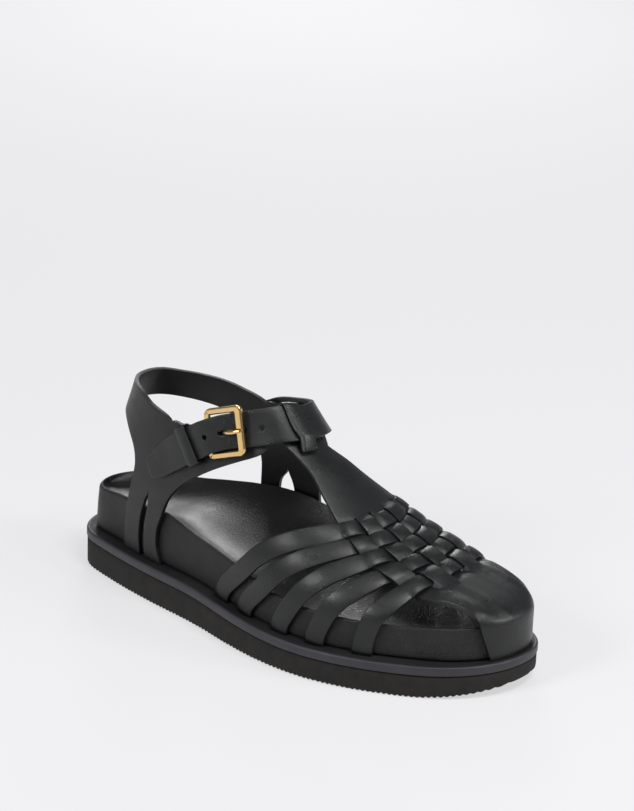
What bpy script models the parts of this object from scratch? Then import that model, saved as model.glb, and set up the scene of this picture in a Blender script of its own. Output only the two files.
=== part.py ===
"""Woven leather fisherman sandal for the right foot.

The frame: +X to the toe, +Y to the inner (medial) side, +Z up, with the origin on the ground
under the middle of the sole. Metres throughout. A table's rows are read from heel to toe and hold
shares of the named sizes, except where a column says otherwise.
"""
import math
from collections import namedtuple

import bmesh
import bpy
import numpy as np
from mathutils import Vector

# Driving sizes of the sole
LENGTH = 0.2605
BALL_WIDTH = 0.0985
OUTSOLE_HEEL = 0.0147
OUTSOLE_FORE = 0.0115
TOE_BEVEL = 0.0055
TOE_SPRING = 0.0015
TOE_BREAK = 0.86
TOE_CURVE = 1.8
HEEL_DROP = (0.30, 0.65)
WELT_THICKNESS = 0.0048
WELT_PROUD = 0.0004
EDGE_BREAK = 0.0008
ARCH_HEIGHT = 0.056
FOOTBED_INSET = 0.0070
HEEL_INSET = 0.0046
TOE_INSET = 0.0048
HEEL_REACH = 0.12
TOE_REACH = 0.14
FOOTBED_DRAFT = 0.0012
FOOTBED_ROUND = 0.0016

# Driving sizes of the upper
LEATHER = 0.0020
CROSS_LEATHER = 0.0019
THIN_LEATHER = 0.0012
RIDGE_HEIGHT = 0.116
CROSS_STRAP = 0.0100
STRIP_GAP = 0.0010
WEAVE_FUSE = 0.0003
ANKLE_HEIGHT = 0.105
ANKLE_WIDTH = 0.0525
ANKLE_STRAP = 0.0178
LOOP_WIDTH = 0.0110
KEEPER_WIDTH = 0.0060

# Driving sizes of the buckle
BUCKLE_LENGTH = 0.0220
BUCKLE_BAR = 0.0026
PIVOT_DIAMETER = 0.0022
PRONG_DIAMETER = 0.0022

# Clearance between pieces that touch on the real sandal
GAP = 0.0003
# Clearance of the loops and of the buckle round the strap
STRAP_FIT = 0.00045

Edge = namedtuple("Edge", "along across")
OUTLINE = [
    Edge(0.000, 0.001), Edge(0.026, -0.175), Edge(0.085, -0.253), Edge(0.175, -0.318),
    Edge(0.280, -0.374), Edge(0.375, -0.420), Edge(0.472, -0.488), Edge(0.572, -0.536),
    Edge(0.671, -0.537), Edge(0.768, -0.478), Edge(0.855, -0.381), Edge(0.926, -0.263),
    Edge(0.977, -0.113), Edge(1.000, 0.057), Edge(0.992, 0.221), Edge(0.944, 0.346),
    Edge(0.870, 0.425), Edge(0.777, 0.462), Edge(0.677, 0.449), Edge(0.578, 0.385),
    Edge(0.479, 0.329), Edge(0.380, 0.322), Edge(0.281, 0.342), Edge(0.172, 0.345),
    Edge(0.082, 0.283), Edge(0.027, 0.177),
]
TOE_ROW = 13

# Footbed: rim heights and bowl depth as shares of ARCH_HEIGHT, square is the bowl's flatness
Rim = namedtuple("Rim", "along lateral medial bowl square")
RIMS = [
    Rim(0.00, 0.750, 0.750, 0.000, 2.5), Rim(0.04, 0.765, 0.765, 0.075, 2.5),
    Rim(0.10, 0.786, 0.786, 0.130, 2.6), Rim(0.18, 0.812, 0.805, 0.140, 2.8),
    Rim(0.26, 0.850, 0.880, 0.130, 3.0), Rim(0.33, 0.777, 0.950, 0.100, 3.2),
    Rim(0.42, 0.722, 1.000, 0.085, 3.6), Rim(0.48, 0.690, 0.970, 0.075, 4.0),
    Rim(0.57, 0.605, 0.820, 0.060, 5.0), Rim(0.68, 0.582, 0.660, 0.050, 6.0),
    Rim(0.80, 0.585, 0.610, 0.048, 6.0), Rim(0.92, 0.605, 0.625, 0.042, 5.0),
    Rim(0.97, 0.620, 0.632, 0.025, 4.0), Rim(1.00, 0.635, 0.635, 0.000, 4.0),
]

# Ridge of the last: height as a share of RIDGE_HEIGHT, across as a share of BALL_WIDTH, and how
# full the section is on its outer and inner sides (2 is an ellipse)
Ridge = namedtuple("Ridge", "along height across outer inner")
RIDGES = [
    Ridge(0.410, 1.075, -0.068, 1.55, 2.50), Ridge(0.448, 1.026, -0.068, 1.55, 2.50),
    Ridge(0.474, 0.974, -0.068, 1.58, 2.50), Ridge(0.529, 0.845, -0.064, 1.72, 2.50),
    Ridge(0.570, 0.765, -0.038, 1.82, 2.50), Ridge(0.602, 0.704, -0.010, 1.87, 2.50),
    Ridge(0.636, 0.647, 0.018, 1.87, 2.55), Ridge(0.680, 0.587, 0.026, 1.87, 2.65),
    Ridge(0.717, 0.542, 0.033, 1.87, 2.80), Ridge(0.749, 0.508, 0.044, 1.87, 2.95),
    Ridge(0.792, 0.472, 0.054, 1.87, 3.10), Ridge(0.832, 0.441, 0.058, 1.87, 3.10),
    Ridge(0.882, 0.402, 0.055, 1.87, 3.00), Ridge(0.951, 0.325, 0.057, 1.87, 2.80),
    Ridge(0.980, 0.284, 0.057, 1.87, 2.80),
]

# Cross straps: places along the sole of the outer foot, the ridge crossing and the inner foot
Cross = namedtuple("Cross", "lateral ridge medial")
CROSSES = [
    Cross(0.434, 0.690, 0.500), Cross(0.502, 0.724, 0.565), Cross(0.594, 0.756, 0.640),
    Cross(0.674, 0.792, 0.715), Cross(0.766, 0.833, 0.790),
]
CROSS_SWEEP = 0.93

# Middle piece: distances of its two edges from the ridge, as shares of BALL_WIDTH
Middle = namedtuple("Middle", "along lateral medial")
MIDDLES = [
    Middle(0.400, 0.165, 0.115), Middle(0.440, 0.175, 0.120), Middle(0.500, 0.118, 0.125),
    Middle(0.530, 0.100, 0.135), Middle(0.560, 0.112, 0.160), Middle(0.600, 0.170, 0.190),
    Middle(0.640, 0.230, 0.220), Middle(0.680, 0.265, 0.250), Middle(0.760, 0.300, 0.270),
    Middle(0.830, 0.290, 0.275),
]
STRIPS = 5
PADDLE_START = 0.447
STRAP_PRESS = 0.0015
PRESS_END = 0.53
PRESS_FADE = 0.05
PADDLE_ROUND = 0.0070
TOE_START = 0.842
TOE_CORNERS = (0.961, 0.958)
TOE_LEAD = 0.42
TOE_FALL = 0.18
TOE_PINCH = 0.75
PADDLE_FLAT = 0.35

# Ankle opening: shares of LENGTH for its length and places
HEEL_BACK = 0.118
FRONT_PLACE = 0.502
HEEL_LEAN = 0.36
FRONT_LEAN = 0.90
ANKLE_SQUARE = 2.35
ANKLE_ACROSS = -0.008
SIDE_START = 0.2

# Quarter and heel strap: outer is the lower or free edge, inner is the slit, seam or top edge.
# Turns are shares of a full turn round the ankle, heights are shares of ANKLE_HEIGHT
Band = namedtuple("Band", "outer_turn outer_height inner_turn inner_height")
REAR_BAND = [
    Band(-0.1464, 0.000, -0.1674, 0.000), Band(-0.1434, 0.333, -0.1648, 0.333),
    Band(-0.1447, 0.476, -0.1702, 0.476), Band(-0.1490, 0.610, -0.1775, 0.548),
    Band(-0.1472, 0.683, -0.1849, 0.648), Band(-0.1378, 0.745, -0.1941, 0.781),
    Band(-0.1182, 0.805, -0.2116, 0.930), Band(-0.0967, 0.845, -0.1657, 0.984),
    Band(-0.0679, 0.868, -0.1293, 1.020), Band(-0.0381, 0.874, -0.0725, 1.031),
    Band(0.0000, 0.876, 0.0000, 1.027), Band(0.0381, 0.876, 0.0632, 1.016),
    Band(0.0771, 0.870, 0.1105, 1.000), Band(0.1190, 0.858, 0.1507, 0.992),
    Band(0.1551, 0.848, 0.1868, 0.984), Band(0.1878, 0.832, 0.2229, 0.966),
    Band(0.2140, 0.790, 0.2676, 0.924), Band(0.2324, 0.720, 0.2827, 0.800),
    Band(0.2389, 0.640, 0.2759, 0.629), Band(0.2330, 0.500, 0.2585, 0.533),
    Band(0.2252, 0.300, 0.2479, 0.330), Band(0.2195, 0.000, 0.2395, 0.000),
]
OUTER_TAB = [
    Band(-0.1926, 0.000, -0.1738, 0.000), Band(-0.1878, 0.314, -0.1720, 0.324),
    Band(-0.1955, 0.448, -0.1756, 0.457), Band(-0.2072, 0.557, -0.1775, 0.548),
    Band(-0.2241, 0.638, -0.1849, 0.648), Band(-0.2454, 0.700, -0.1941, 0.781),
    Band(-0.2683, 0.752, -0.2116, 0.930), Band(-0.2928, 0.797, -0.2371, 0.938),
    Band(-0.3198, 0.838, -0.2668, 0.962), Band(-0.3414, 0.865, -0.3084, 0.988),
    Band(-0.3596, 0.888, -0.3414, 0.997), Band(-0.3741, 0.915, -0.3605, 0.995),
    Band(-0.3701, 0.945, -0.3641, 0.980),
]
INNER_TAB = [
    Band(0.2798, 0.000, 0.2569, 0.000), Band(0.2913, 0.300, 0.2676, 0.330),
    Band(0.3074, 0.540, 0.2771, 0.533), Band(0.3225, 0.629, 0.2759, 0.629),
    Band(0.3406, 0.705, 0.2827, 0.800), Band(0.3588, 0.790, 0.2676, 0.924),
    Band(0.3724, 0.855, 0.2985, 0.945), Band(0.3835, 0.900, 0.3317, 0.975),
    Band(0.3895, 0.940, 0.3622, 0.985),
]
# Rows of each tab's table where it is joined to the rear band, and the rear band's row there
OUTER_SEAM = (3, 6)
INNER_SEAM = (3, 5)
INNER_SADDLE = 16
FOOT_HEIGHT = 0.29

# Ankle strap's centre line: turn round the ankle, height as a share of ANKLE_HEIGHT, lift off the
# quarter in layers of thin leather, width as a share of ANKLE_STRAP
Run = namedtuple("Run", "turn height lift width")
STRAP_RUN = [
    Run(-0.1793, 0.668, 0.00, 0.62), Run(-0.1941, 0.712, 0.00, 0.80), Run(-0.2126, 0.771, 0.30, 0.92),
    Run(-0.2382, 0.838, 1.25, 1.00), Run(-0.2611, 0.882, 1.60, 1.00), Run(-0.2838, 0.926, 2.35, 1.00),
    Run(-0.3160, 0.966, 1.45, 1.00), Run(-0.3484, 0.988, 0.75, 1.00), Run(-0.3793, 0.995, 0.72, 1.00),
    Run(-0.4139, 0.996, 1.30, 1.00), Run(-0.4465, 0.990, 1.30, 1.00), Run(-0.5000, 0.978, 0.85, 1.00),
    Run(-0.5485, 0.968, 0.70, 1.00), Run(-0.5861, 0.956, 0.50, 1.00), Run(-0.6293, 0.937, 0.10, 1.00),
    Run(-0.6729, 0.915, 0.00, 1.00), Run(-0.7119, 0.885, 0.00, 1.00), Run(-0.7416, 0.850, 0.00, 0.90),
]
TIP_ROUND = 0.004

# Places and shapes of the loop, the keeper and the buckle; places count rows of STRAP_RUN
BUCKLE_PLACE = 6.1
KEEPER_PLACE = 3.55
LOOP_PLACE = 10.0
LOOP_TAIL = 0.0020
BAR_DEPTH = 0.0030
BAR_BEVEL = 0.45
FREE_BAR_OUT = 0.0033
PIVOT_BAR_OUT = -0.0029
BUCKLE_CORNER = 0.0030
HOLE_LENGTH = 0.0075
HOLE_BACK = 0.0005

# Middle line of the prong: shares of the buckle's length, and of the way out over the free bar
Prong = namedtuple("Prong", "ahead out")
PRONG_ROUTE = [
    Prong(-0.29, -0.44), Prong(-0.20, -0.44), Prong(-0.10, -0.27), Prong(0.00, 0.17),
    Prong(0.10, 0.585), Prong(0.22, 0.854), Prong(0.34, 0.976), Prong(0.47, 1.0),
]

# Rows, columns and steps of the meshes
SPAN_STEPS = 24
SIDE_POINTS = 27
FINE_POINTS = 400
BOWL_COLUMNS = 8
CROSS_ROWS = 15
WALL_ROWS = 5
TOE_ROWS = 6
PADDLE_ROWS = 4
TBAR_ROWS = 9
WEAVE_ROWS = 20
BAND_COLUMNS = 3
BAND_STEPS = 2
STRAP_STEPS = 3
STRAP_COLUMNS = 4

# Steps that measure a surface's direction, and distances at which points are joined
PROBE = 0.0008
PROBE_TURN = 0.012
MERGE = 0.00001
SEAM_MERGE = 0.0001

# Names of the collections
COLLECTION = "fisherman_sandal"
GUIDES = "guides"
CROSS_GUIDES = "cross_straps"

# Colour, roughness and metallic value of each piece's material
Finish = namedtuple("Finish", "colour roughness metallic")
FINISHES = {
    "outsole": Finish((0.030, 0.026, 0.023), 0.85, 0.0),
    "welt": Finish((0.040, 0.042, 0.052), 0.50, 0.0),
    "footbed": Finish((0.016, 0.016, 0.018), 0.45, 0.0),
    "woven_vamp": Finish((0.012, 0.013, 0.014), 0.32, 0.0),
    "heel_quarter": Finish((0.012, 0.012, 0.014), 0.35, 0.0),
    "ankle_strap": Finish((0.012, 0.013, 0.014), 0.32, 0.0),
    "tbar_loop": Finish((0.012, 0.013, 0.014), 0.32, 0.0),
    "keeper": Finish((0.012, 0.013, 0.014), 0.32, 0.0),
    "buckle_frame": Finish((0.83, 0.60, 0.27), 0.12, 1.0),
    "buckle_prong": Finish((0.83, 0.60, 0.27), 0.15, 1.0),
}

# A row of a table with its place in the table
PlacedBand = namedtuple("PlacedBand", "outer_turn outer_height inner_turn inner_height place")
PlacedRun = namedtuple("PlacedRun", "turn height lift width place")
WEAVE_LIFT = (LEATHER - WEAVE_FUSE) / 2


def column(rows, name):
    """One named column of a table as an array."""
    return np.array([getattr(row, name) for row in rows], float)


def smooth(rows, name, along, key="along"):
    """Value of a table's column at any place, on a smooth curve through its rows."""
    xs, ys = column(rows, key), column(rows, name)
    slopes = np.gradient(ys, xs)
    along = min(max(along, xs[0]), xs[-1])
    k = int(min(max(np.searchsorted(xs, along) - 1, 0), len(xs) - 2))
    span = xs[k + 1] - xs[k]
    t = (along - xs[k]) / span
    start = ys[k] * (1 + 2 * t) * (1 - t) ** 2 + slopes[k] * span * t * (1 - t) ** 2
    end = ys[k + 1] * t * t * (3 - 2 * t) - slopes[k + 1] * span * t * t * (1 - t)
    return start + end


def ease(value):
    """Smooth step from 0 to 1."""
    value = min(max(value, 0.0), 1.0)
    return value * value * (3 - 2 * value)


def to_x(along):
    """World x of a share of the sole's length."""
    return (along - 0.5) * LENGTH


def to_along(x):
    """Share of the sole's length of a world x."""
    return x / LENGTH + 0.5


def closed_spline(points, steps):
    """Closed smooth curve through points: steps points in each span."""
    points = np.array(points, float)
    count = len(points)
    matrix = 4 * np.eye(count) + np.roll(np.eye(count), 1, 0) + np.roll(np.eye(count), -1, 0)
    slopes = np.linalg.solve(matrix, 3 * (np.roll(points, -1, 0) - np.roll(points, 1, 0)))
    result = []
    for k in range(count):
        p, q = points[k], points[(k + 1) % count]
        m, n = slopes[k], slopes[(k + 1) % count]
        for t in np.linspace(0, 1, steps, endpoint=False):
            first = p * (1 + 2 * t) * (1 - t) ** 2 + m * t * (1 - t) ** 2
            result.append(first + q * t * t * (3 - 2 * t) - n * t * t * (1 - t))
    return np.array(result)


def resample(line, shares):
    """Points of a polyline at shares of its length."""
    steps = np.linalg.norm(np.diff(line, axis=0), axis=1)
    run = np.concatenate([[0.0], np.cumsum(steps)]) / steps.sum()
    return np.stack([np.interp(shares, run, line[:, k]) for k in range(line.shape[1])], axis=1)


def footbed_inset(along):
    """Distance of the footbed's wall from the sole's edge, less at the heel and the toe."""
    at_heel = 1 - ease(along / HEEL_REACH)
    at_toe = 1 - ease((1 - along) / TOE_REACH)
    return FOOTBED_INSET + (HEEL_INSET - FOOTBED_INSET) * at_heel + (TOE_INSET - FOOTBED_INSET) * at_toe


def outline_sides(inset, count, wall=False):
    """Outer and inner halves of the sole's outline, heel to toe, moved inward by inset.

    With wall, inset is measured from the footbed's wall instead.
    """
    points = [(to_x(row.along), row.across * BALL_WIDTH) for row in OUTLINE]
    loop = closed_spline(points, SPAN_STEPS)
    tangent = np.roll(loop, -1, 0) - np.roll(loop, 1, 0)
    tangent /= np.linalg.norm(tangent, axis=1)[:, None]
    inward = np.array([inset + (footbed_inset(to_along(x)) if wall else 0.0) for x in loop[:, 0]])[:, None]
    loop = loop + inward * np.stack([-tangent[:, 1], tangent[:, 0]], axis=1)
    toe = TOE_ROW * SPAN_STEPS
    lateral = loop[:toe + 1]
    medial = np.vstack([loop[toe:], loop[:1]])[::-1]
    even = np.linspace(0, 1, count)
    shares = 0.5 * even + 0.25 * (1 - np.cos(np.pi * even))
    return resample(lateral, shares), resample(medial, shares)


def side_y(x, medial):
    """Across place, at x, of the middle of the leather that lies on the footbed's wall."""
    line = WALL_LEATHER[1 if medial else 0]
    first, last = int(np.argmin(line[:, 0])), int(np.argmax(line[:, 0])) + 1
    return float(np.interp(x, line[first:last, 0], line[first:last, 1]))


WALL_LEATHER = outline_sides(-GAP - LEATHER / 2, FINE_POINTS, wall=True)


def toe_rise(x):
    """Rise of the toe, from 0 at TOE_BREAK to 1 at the sole's end."""
    return (max(to_along(x) - TOE_BREAK, 0.0) / (1 - TOE_BREAK)) ** TOE_CURVE


def outsole_bottom(x):
    """Flat under the foot, with a bevel that rises to the toe."""
    return TOE_BEVEL * toe_rise(x)


def outsole_top(x):
    """The sole is thicker under the heel, and its top rises slightly at the toe."""
    drop = ease((to_along(x) - HEEL_DROP[0]) / (HEEL_DROP[1] - HEEL_DROP[0]))
    return OUTSOLE_HEEL + (OUTSOLE_FORE - OUTSOLE_HEEL) * drop + TOE_SPRING * toe_rise(x)


def welt_bottom(x):
    return outsole_top(x) + GAP


def welt_top(x):
    return welt_bottom(x) + WELT_THICKNESS


def rim_height(x, medial):
    """Height of the footbed's rim above the ground."""
    return ARCH_HEIGHT * smooth(RIMS, "medial" if medial else "lateral", to_along(x))


def rounded(angle, fullness):
    """Cosine and sine of an angle, moved out on to a fuller curve than the circle."""
    cosine, sine = math.cos(angle), math.sin(angle)
    size = (abs(cosine) ** fullness + abs(sine) ** fullness) ** (1 / fullness)
    return cosine / size, sine / size


def vamp_point(x, turn):
    """Point on the last over the forefoot and instep.

    turn runs from -1 at the outer rim over 0 at the ridge to 1 at the inner rim. Past the rim it
    goes straight down the footbed's wall, one unit for each ARCH_HEIGHT.
    """
    along = to_along(x)
    medial = turn > 0
    side = side_y(x, medial)
    rim = rim_height(x, medial) + GAP
    if abs(turn) > 1:
        return np.array([x, side, rim - (abs(turn) - 1) * ARCH_HEIGHT])
    ridge_y = BALL_WIDTH * smooth(RIDGES, "across", along)
    ridge_z = RIDGE_HEIGHT * smooth(RIDGES, "height", along)
    rise, reach = rounded(abs(turn) * math.pi / 2, smooth(RIDGES, "inner" if medial else "outer", along))
    return np.array([x, ridge_y + (side - ridge_y) * reach, rim + (ridge_z - rim) * rise])


def vamp_turn(x, distance):
    """Turn of the last's point that lies this far across from the ridge."""
    ridge_y = BALL_WIDTH * smooth(RIDGES, "across", to_along(x))
    side = side_y(x, distance > 0)
    fullness = smooth(RIDGES, "inner" if distance > 0 else "outer", to_along(x))
    share = min(abs(distance / (side - ridge_y)), 1.0)
    angle = math.atan2(share, (1 - share ** fullness) ** (1 / fullness))
    return math.copysign(angle * 2 / math.pi, distance)


def vamp_normal(x, turn):
    """Outward normal of the last at a point."""
    ahead = vamp_point(x + PROBE, turn) - vamp_point(x - PROBE, turn)
    across = vamp_point(x, turn + PROBE_TURN) - vamp_point(x, turn - PROBE_TURN)
    return unit(np.cross(ahead, across))


def unit(vector):
    """The vector at length 1."""
    return vector / (np.linalg.norm(vector) + 1e-12)


def ankle_point(turn, z):
    """Point on the last round the ankle: turn is a share of a full turn from the heel's back,
    negative on the outer side. Low down, it follows the footbed's wall."""
    back = to_x(HEEL_BACK) + (z - ANKLE_HEIGHT) * HEEL_LEAN
    front = to_x(FRONT_PLACE) - (z - ANKLE_HEIGHT) * FRONT_LEAN
    cosine, sine = rounded(turn * 2 * math.pi, ANKLE_SQUARE)
    x = (back + front) / 2 - (front - back) / 2 * cosine
    y = BALL_WIDTH * ANKLE_ACROSS + ANKLE_WIDTH / 2 * sine
    medial = sine > 0
    rim = rim_height(x, medial)
    wall = (1 - ease((z - rim) / (ANKLE_HEIGHT - rim))) * ease((abs(sine) - SIDE_START) / (1 - SIDE_START) * 1.5)
    if wall > 0:
        y += (side_y(x, medial) - y) * wall
    return np.array([x, y, z])


def ankle_normal(turn, z):
    """Outward normal of the last round the ankle."""
    up = ankle_point(turn, z + PROBE) - ankle_point(turn, z - PROBE)
    across = ankle_point(turn + PROBE_TURN / 4, z) - ankle_point(turn - PROBE_TURN / 4, z)
    return unit(np.cross(up, across))


def grid_object(name, rows, closed_rows=False, keep=None):
    """Open sheet through rows of points; keep says which cells of the grid are made."""
    mesh = bmesh.new()
    verts = [[mesh.verts.new(point) for point in row] for row in rows]
    wrap = 0 if closed_rows else 1
    for i in range(len(rows) - 1):
        for j in range(len(rows[0]) - wrap):
            if keep is None or keep(i, j):
                k = (j + 1) % len(rows[0])
                mesh.faces.new((verts[i][j], verts[i][k], verts[i + 1][k], verts[i + 1][j]))
    for vert in [vert for vert in mesh.verts if not vert.link_faces]:
        mesh.verts.remove(vert)
    bmesh.ops.remove_doubles(mesh, verts=mesh.verts, dist=MERGE)
    bmesh.ops.recalc_face_normals(mesh, faces=mesh.faces)
    return mesh_object(name, mesh)


def mesh_object(name, mesh, collection=COLLECTION):
    """Object of a bmesh, in the named collection."""
    data = bpy.data.meshes.new(name)
    mesh.to_mesh(data)
    mesh.free()
    made = bpy.data.objects.new(name, data)
    bpy.data.collections[collection].objects.link(made)
    return made


def solidify(made, thickness):
    """Give a sheet its thickness, half on each side."""
    shell = made.modifiers.new("thickness", "SOLIDIFY")
    shell.thickness = thickness
    shell.offset = 0.0
    shell.use_quality_normals = True
    return made


def as_guide(made, collection=GUIDES):
    """Hide a piece that only cuts or joins another."""
    bpy.data.collections[COLLECTION].objects.unlink(made)
    bpy.data.collections[collection].objects.link(made)
    made.hide_render = True
    made.display_type = "WIRE"


def combine(made, other, operation):
    """Boolean with a guide, kept as a modifier."""
    modifier = made.modifiers.new(operation.lower(), "BOOLEAN")
    modifier.operation = operation
    modifier.solver = "EXACT"
    modifier.object = other


def beside(point, normal, place, along, distance):
    """Place on a surface at a distance to the side of a direction along it."""
    u, v = place
    side = unit(np.cross(normal(u, v), along))
    step_u = (point(u + PROBE, v) - point(u - PROBE, v)) / (2 * PROBE)
    step_v = (point(u, v + PROBE) - point(u, v - PROBE)) / (2 * PROBE)
    matrix = np.stack([step_u, step_v], axis=1)
    du, dv = np.linalg.lstsq(matrix, side, rcond=None)[0] * distance
    return u + du, v + dv


def ribbon(point, normal, path, widths, lifts, columns):
    """Rows of points of a strip that follows a path of surface places.

    point and normal give the surface; widths and lifts hold one value for each place.
    """
    rows = []
    for k, place in enumerate(path):
        before, after = path[max(k - 1, 0)], path[min(k + 1, len(path) - 1)]
        along = unit(point(*after) - point(*before))
        row = []
        for share in np.linspace(-0.5, 0.5, columns + 1):
            spot = beside(point, normal, place, along, share * widths[k])
            row.append(point(*spot) + normal(*spot) * lifts[k])
        rows.append(row)
    return rows


def layer_object(name, inset, bottom, top, edge):
    """Flat layer of the sole with its outline and broken edges."""
    rings = [
        (inset + edge, bottom, 0.0), (inset, bottom, edge), (inset, top, -edge), (inset + edge, top, 0.0),
    ]
    mesh = bmesh.new()
    loops = []
    for offset, height, lift in rings:
        lateral, medial = outline_sides(offset, SIDE_POINTS)
        line = np.vstack([lateral, medial[-2:0:-1]])
        loops.append([mesh.verts.new((x, y, height(x) + lift)) for x, y in line])
    close_loops(mesh, loops)
    return mesh_object(name, mesh)


def close_loops(mesh, loops):
    """Skin stacked loops, and cap the first and last with strips from side to side."""
    count = len(loops[0])
    for low, high in zip(loops, loops[1:]):
        for j in range(count):
            k = (j + 1) % count
            mesh.faces.new((low[j], low[k], high[k], high[j]))
    for loop in (loops[0], loops[-1]):
        cap_strips(mesh, loop)
    bmesh.ops.recalc_face_normals(mesh, faces=mesh.faces)


def cap_strips(mesh, loop):
    """Close a loop whose halves have as many points, with a row of cells across it."""
    count = len(loop)
    mesh.faces.new((loop[0], loop[1], loop[-1]))
    for j in range(1, count // 2 - 1):
        mesh.faces.new((loop[j], loop[j + 1], loop[count - j - 1], loop[count - j]))
    half = count // 2
    mesh.faces.new((loop[half - 1], loop[half], loop[half + 1]))


def outsole():
    return layer_object("outsole", 0.0, outsole_bottom, outsole_top, EDGE_BREAK)


def welt():
    return layer_object("welt", -WELT_PROUD, welt_bottom, welt_top, EDGE_BREAK)


def footbed_surface(lateral, medial, share):
    """Point on the footbed's top, at a share of the way from the outer rim to the inner."""
    x = lateral[0] + (medial[0] - lateral[0]) * share
    y = lateral[1] + (medial[1] - lateral[1]) * share
    along = to_along(x)
    low, high = rim_height(x, False), rim_height(x, True)
    arch = share ** 1.5 if high > low else share
    centre = abs(2 * share - 1)
    bowl = smooth(RIMS, "bowl", along) * ARCH_HEIGHT
    dip = bowl * (1 - centre ** smooth(RIMS, "square", along))
    return np.array([x, y, low + (high - low) * arch - dip])


def footbed():
    """Cupped footbed: a wall round it, a rounded rim and a bowl with the arch's rise."""
    levels = [(0.0, None, 0.0), (FOOTBED_DRAFT * 0.5, 0.5, 0.0), (FOOTBED_DRAFT, 1.0, -FOOTBED_ROUND)]
    levels.append((FOOTBED_DRAFT + FOOTBED_ROUND * 0.3, 1.0, -FOOTBED_ROUND * 0.3))
    mesh = bmesh.new()
    loops = []
    for offset, share, lift in levels:
        lateral, medial = outline_sides(offset, SIDE_POINTS, wall=True)
        loop = []
        for line, inner in ((lateral, False), (medial[-2:0:-1], True)):
            for x, y in line:
                base = welt_top(x) + GAP
                rim = rim_height(x, inner)
                loop.append(mesh.verts.new((x, y, base + (rim - base) * (share or 0.0) + lift)))
        loops.append(loop)
    lateral, medial = outline_sides(FOOTBED_DRAFT + FOOTBED_ROUND, SIDE_POINTS, wall=True)
    grid = []
    for near, far in zip(lateral, medial):
        shares = np.linspace(0, 1, BOWL_COLUMNS + 1)
        grid.append([mesh.verts.new(footbed_surface(near, far, share)) for share in shares])
    top = [row[0] for row in grid[1:-1]]
    far = [row[-1] for row in grid[1:-1]]
    for grid_row in (grid[0], grid[-1]):
        for vert in grid_row[1:]:
            mesh.verts.remove(vert)
        del grid_row[1:]
    rim = [grid[0][0]] + top + [grid[-1][0]] + far[::-1]
    loops.append(rim)
    count = len(rim)
    for low, high in zip(loops, loops[1:]):
        for j in range(count):
            k = (j + 1) % count
            mesh.faces.new((low[j], low[k], high[k], high[j]))
    cap_strips(mesh, loops[0])
    for row, ahead in zip(grid[1:-1], grid[2:-1]):
        for j in range(BOWL_COLUMNS):
            mesh.faces.new((row[j], row[j + 1], ahead[j + 1], ahead[j]))
    for end, row in ((grid[0], grid[1]), (grid[-1], grid[-2])):
        for j in range(BOWL_COLUMNS):
            mesh.faces.new((end[0], row[j], row[j + 1]))
    bmesh.ops.recalc_face_normals(mesh, faces=mesh.faces)
    return mesh_object("footbed", mesh)


def foot_turn(x, medial):
    """Turn at which the last's wall meets the welt, with the clearance left."""
    depth = rim_height(x, medial) + GAP - welt_top(x) - GAP
    return (1 + depth / ARCH_HEIGHT) * (1 if medial else -1)


def cross_x(cross, turn):
    """x of a cross strap's centre line at a turn of the last."""
    foot = cross.medial if turn > 0 else cross.lateral
    lowest = abs(foot_turn(to_x(foot), turn > 0))
    share = ease(max(1 - abs(turn) / lowest, 0.0) ** CROSS_SWEEP)
    return to_x(foot + (cross.ridge - foot) * share)


def strip_distance(x, strip):
    """Distance of a lengthwise strip's centre from the ridge; strips count 0 to STRIPS - 1."""
    lateral = -BALL_WIDTH * smooth(MIDDLES, "lateral", to_along(x))
    medial = BALL_WIDTH * smooth(MIDDLES, "medial", to_along(x))
    return lateral + (medial - lateral) * (strip + 0.5) / STRIPS


def weave_wave(strip, cross):
    """Height of a cross strap over a strip, from -1 under to 1 over, at any place between."""
    inside = -0.5 < strip < STRIPS - 0.5 and -0.5 < cross < len(CROSSES) - 0.5
    if not inside:
        return 0.0
    value = math.cos(math.pi * strip) * math.cos(math.pi * cross)
    return math.sin(value * math.pi / 2)


def cross_strap(index):
    """One cross strap, from its outer foot over the weave to its inner foot."""
    cross = CROSSES[index]
    turns = list(np.linspace(-1, 1, 2 * CROSS_ROWS + 1))
    low = foot_turn(to_x(cross.lateral), False)
    high = foot_turn(to_x(cross.medial), True)
    turns = list(np.linspace(low, -1, WALL_ROWS)[:-1]) + turns + list(np.linspace(1, high, WALL_ROWS)[1:])
    path, lifts = [], []
    for turn in turns:
        x = cross_x(cross, turn)
        path.append((x, turn))
        distance = vamp_point(x, turn)[1] - BALL_WIDTH * smooth(RIDGES, "across", to_along(x))
        first, last = strip_distance(x, 0), strip_distance(x, STRIPS - 1)
        strip = (distance - first) / (last - first) * (STRIPS - 1)
        lifts.append(WEAVE_LIFT * weave_wave(strip, index))
    rows = ribbon(vamp_point, vamp_normal, path, [CROSS_STRAP] * len(path), lifts, 2)
    for row in (rows[0], rows[-1]):
        for point in row:
            point[2] = welt_top(point[0]) + GAP
    made = grid_object(f"cross_strap_{index + 1}", rows)
    solidify(made, CROSS_LEATHER)
    as_guide(made, CROSS_GUIDES)
    return made


def strip_columns(x):
    """Distances from the ridge of the edges of every strip and of their middles."""
    pitch = (strip_distance(x, STRIPS - 1) - strip_distance(x, 0)) / (STRIPS - 1)
    half = (pitch - STRIP_GAP) / 2
    columns = []
    for strip in range(STRIPS):
        centre = strip_distance(x, strip)
        columns += [centre - half, centre, centre + half]
    return columns


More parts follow.
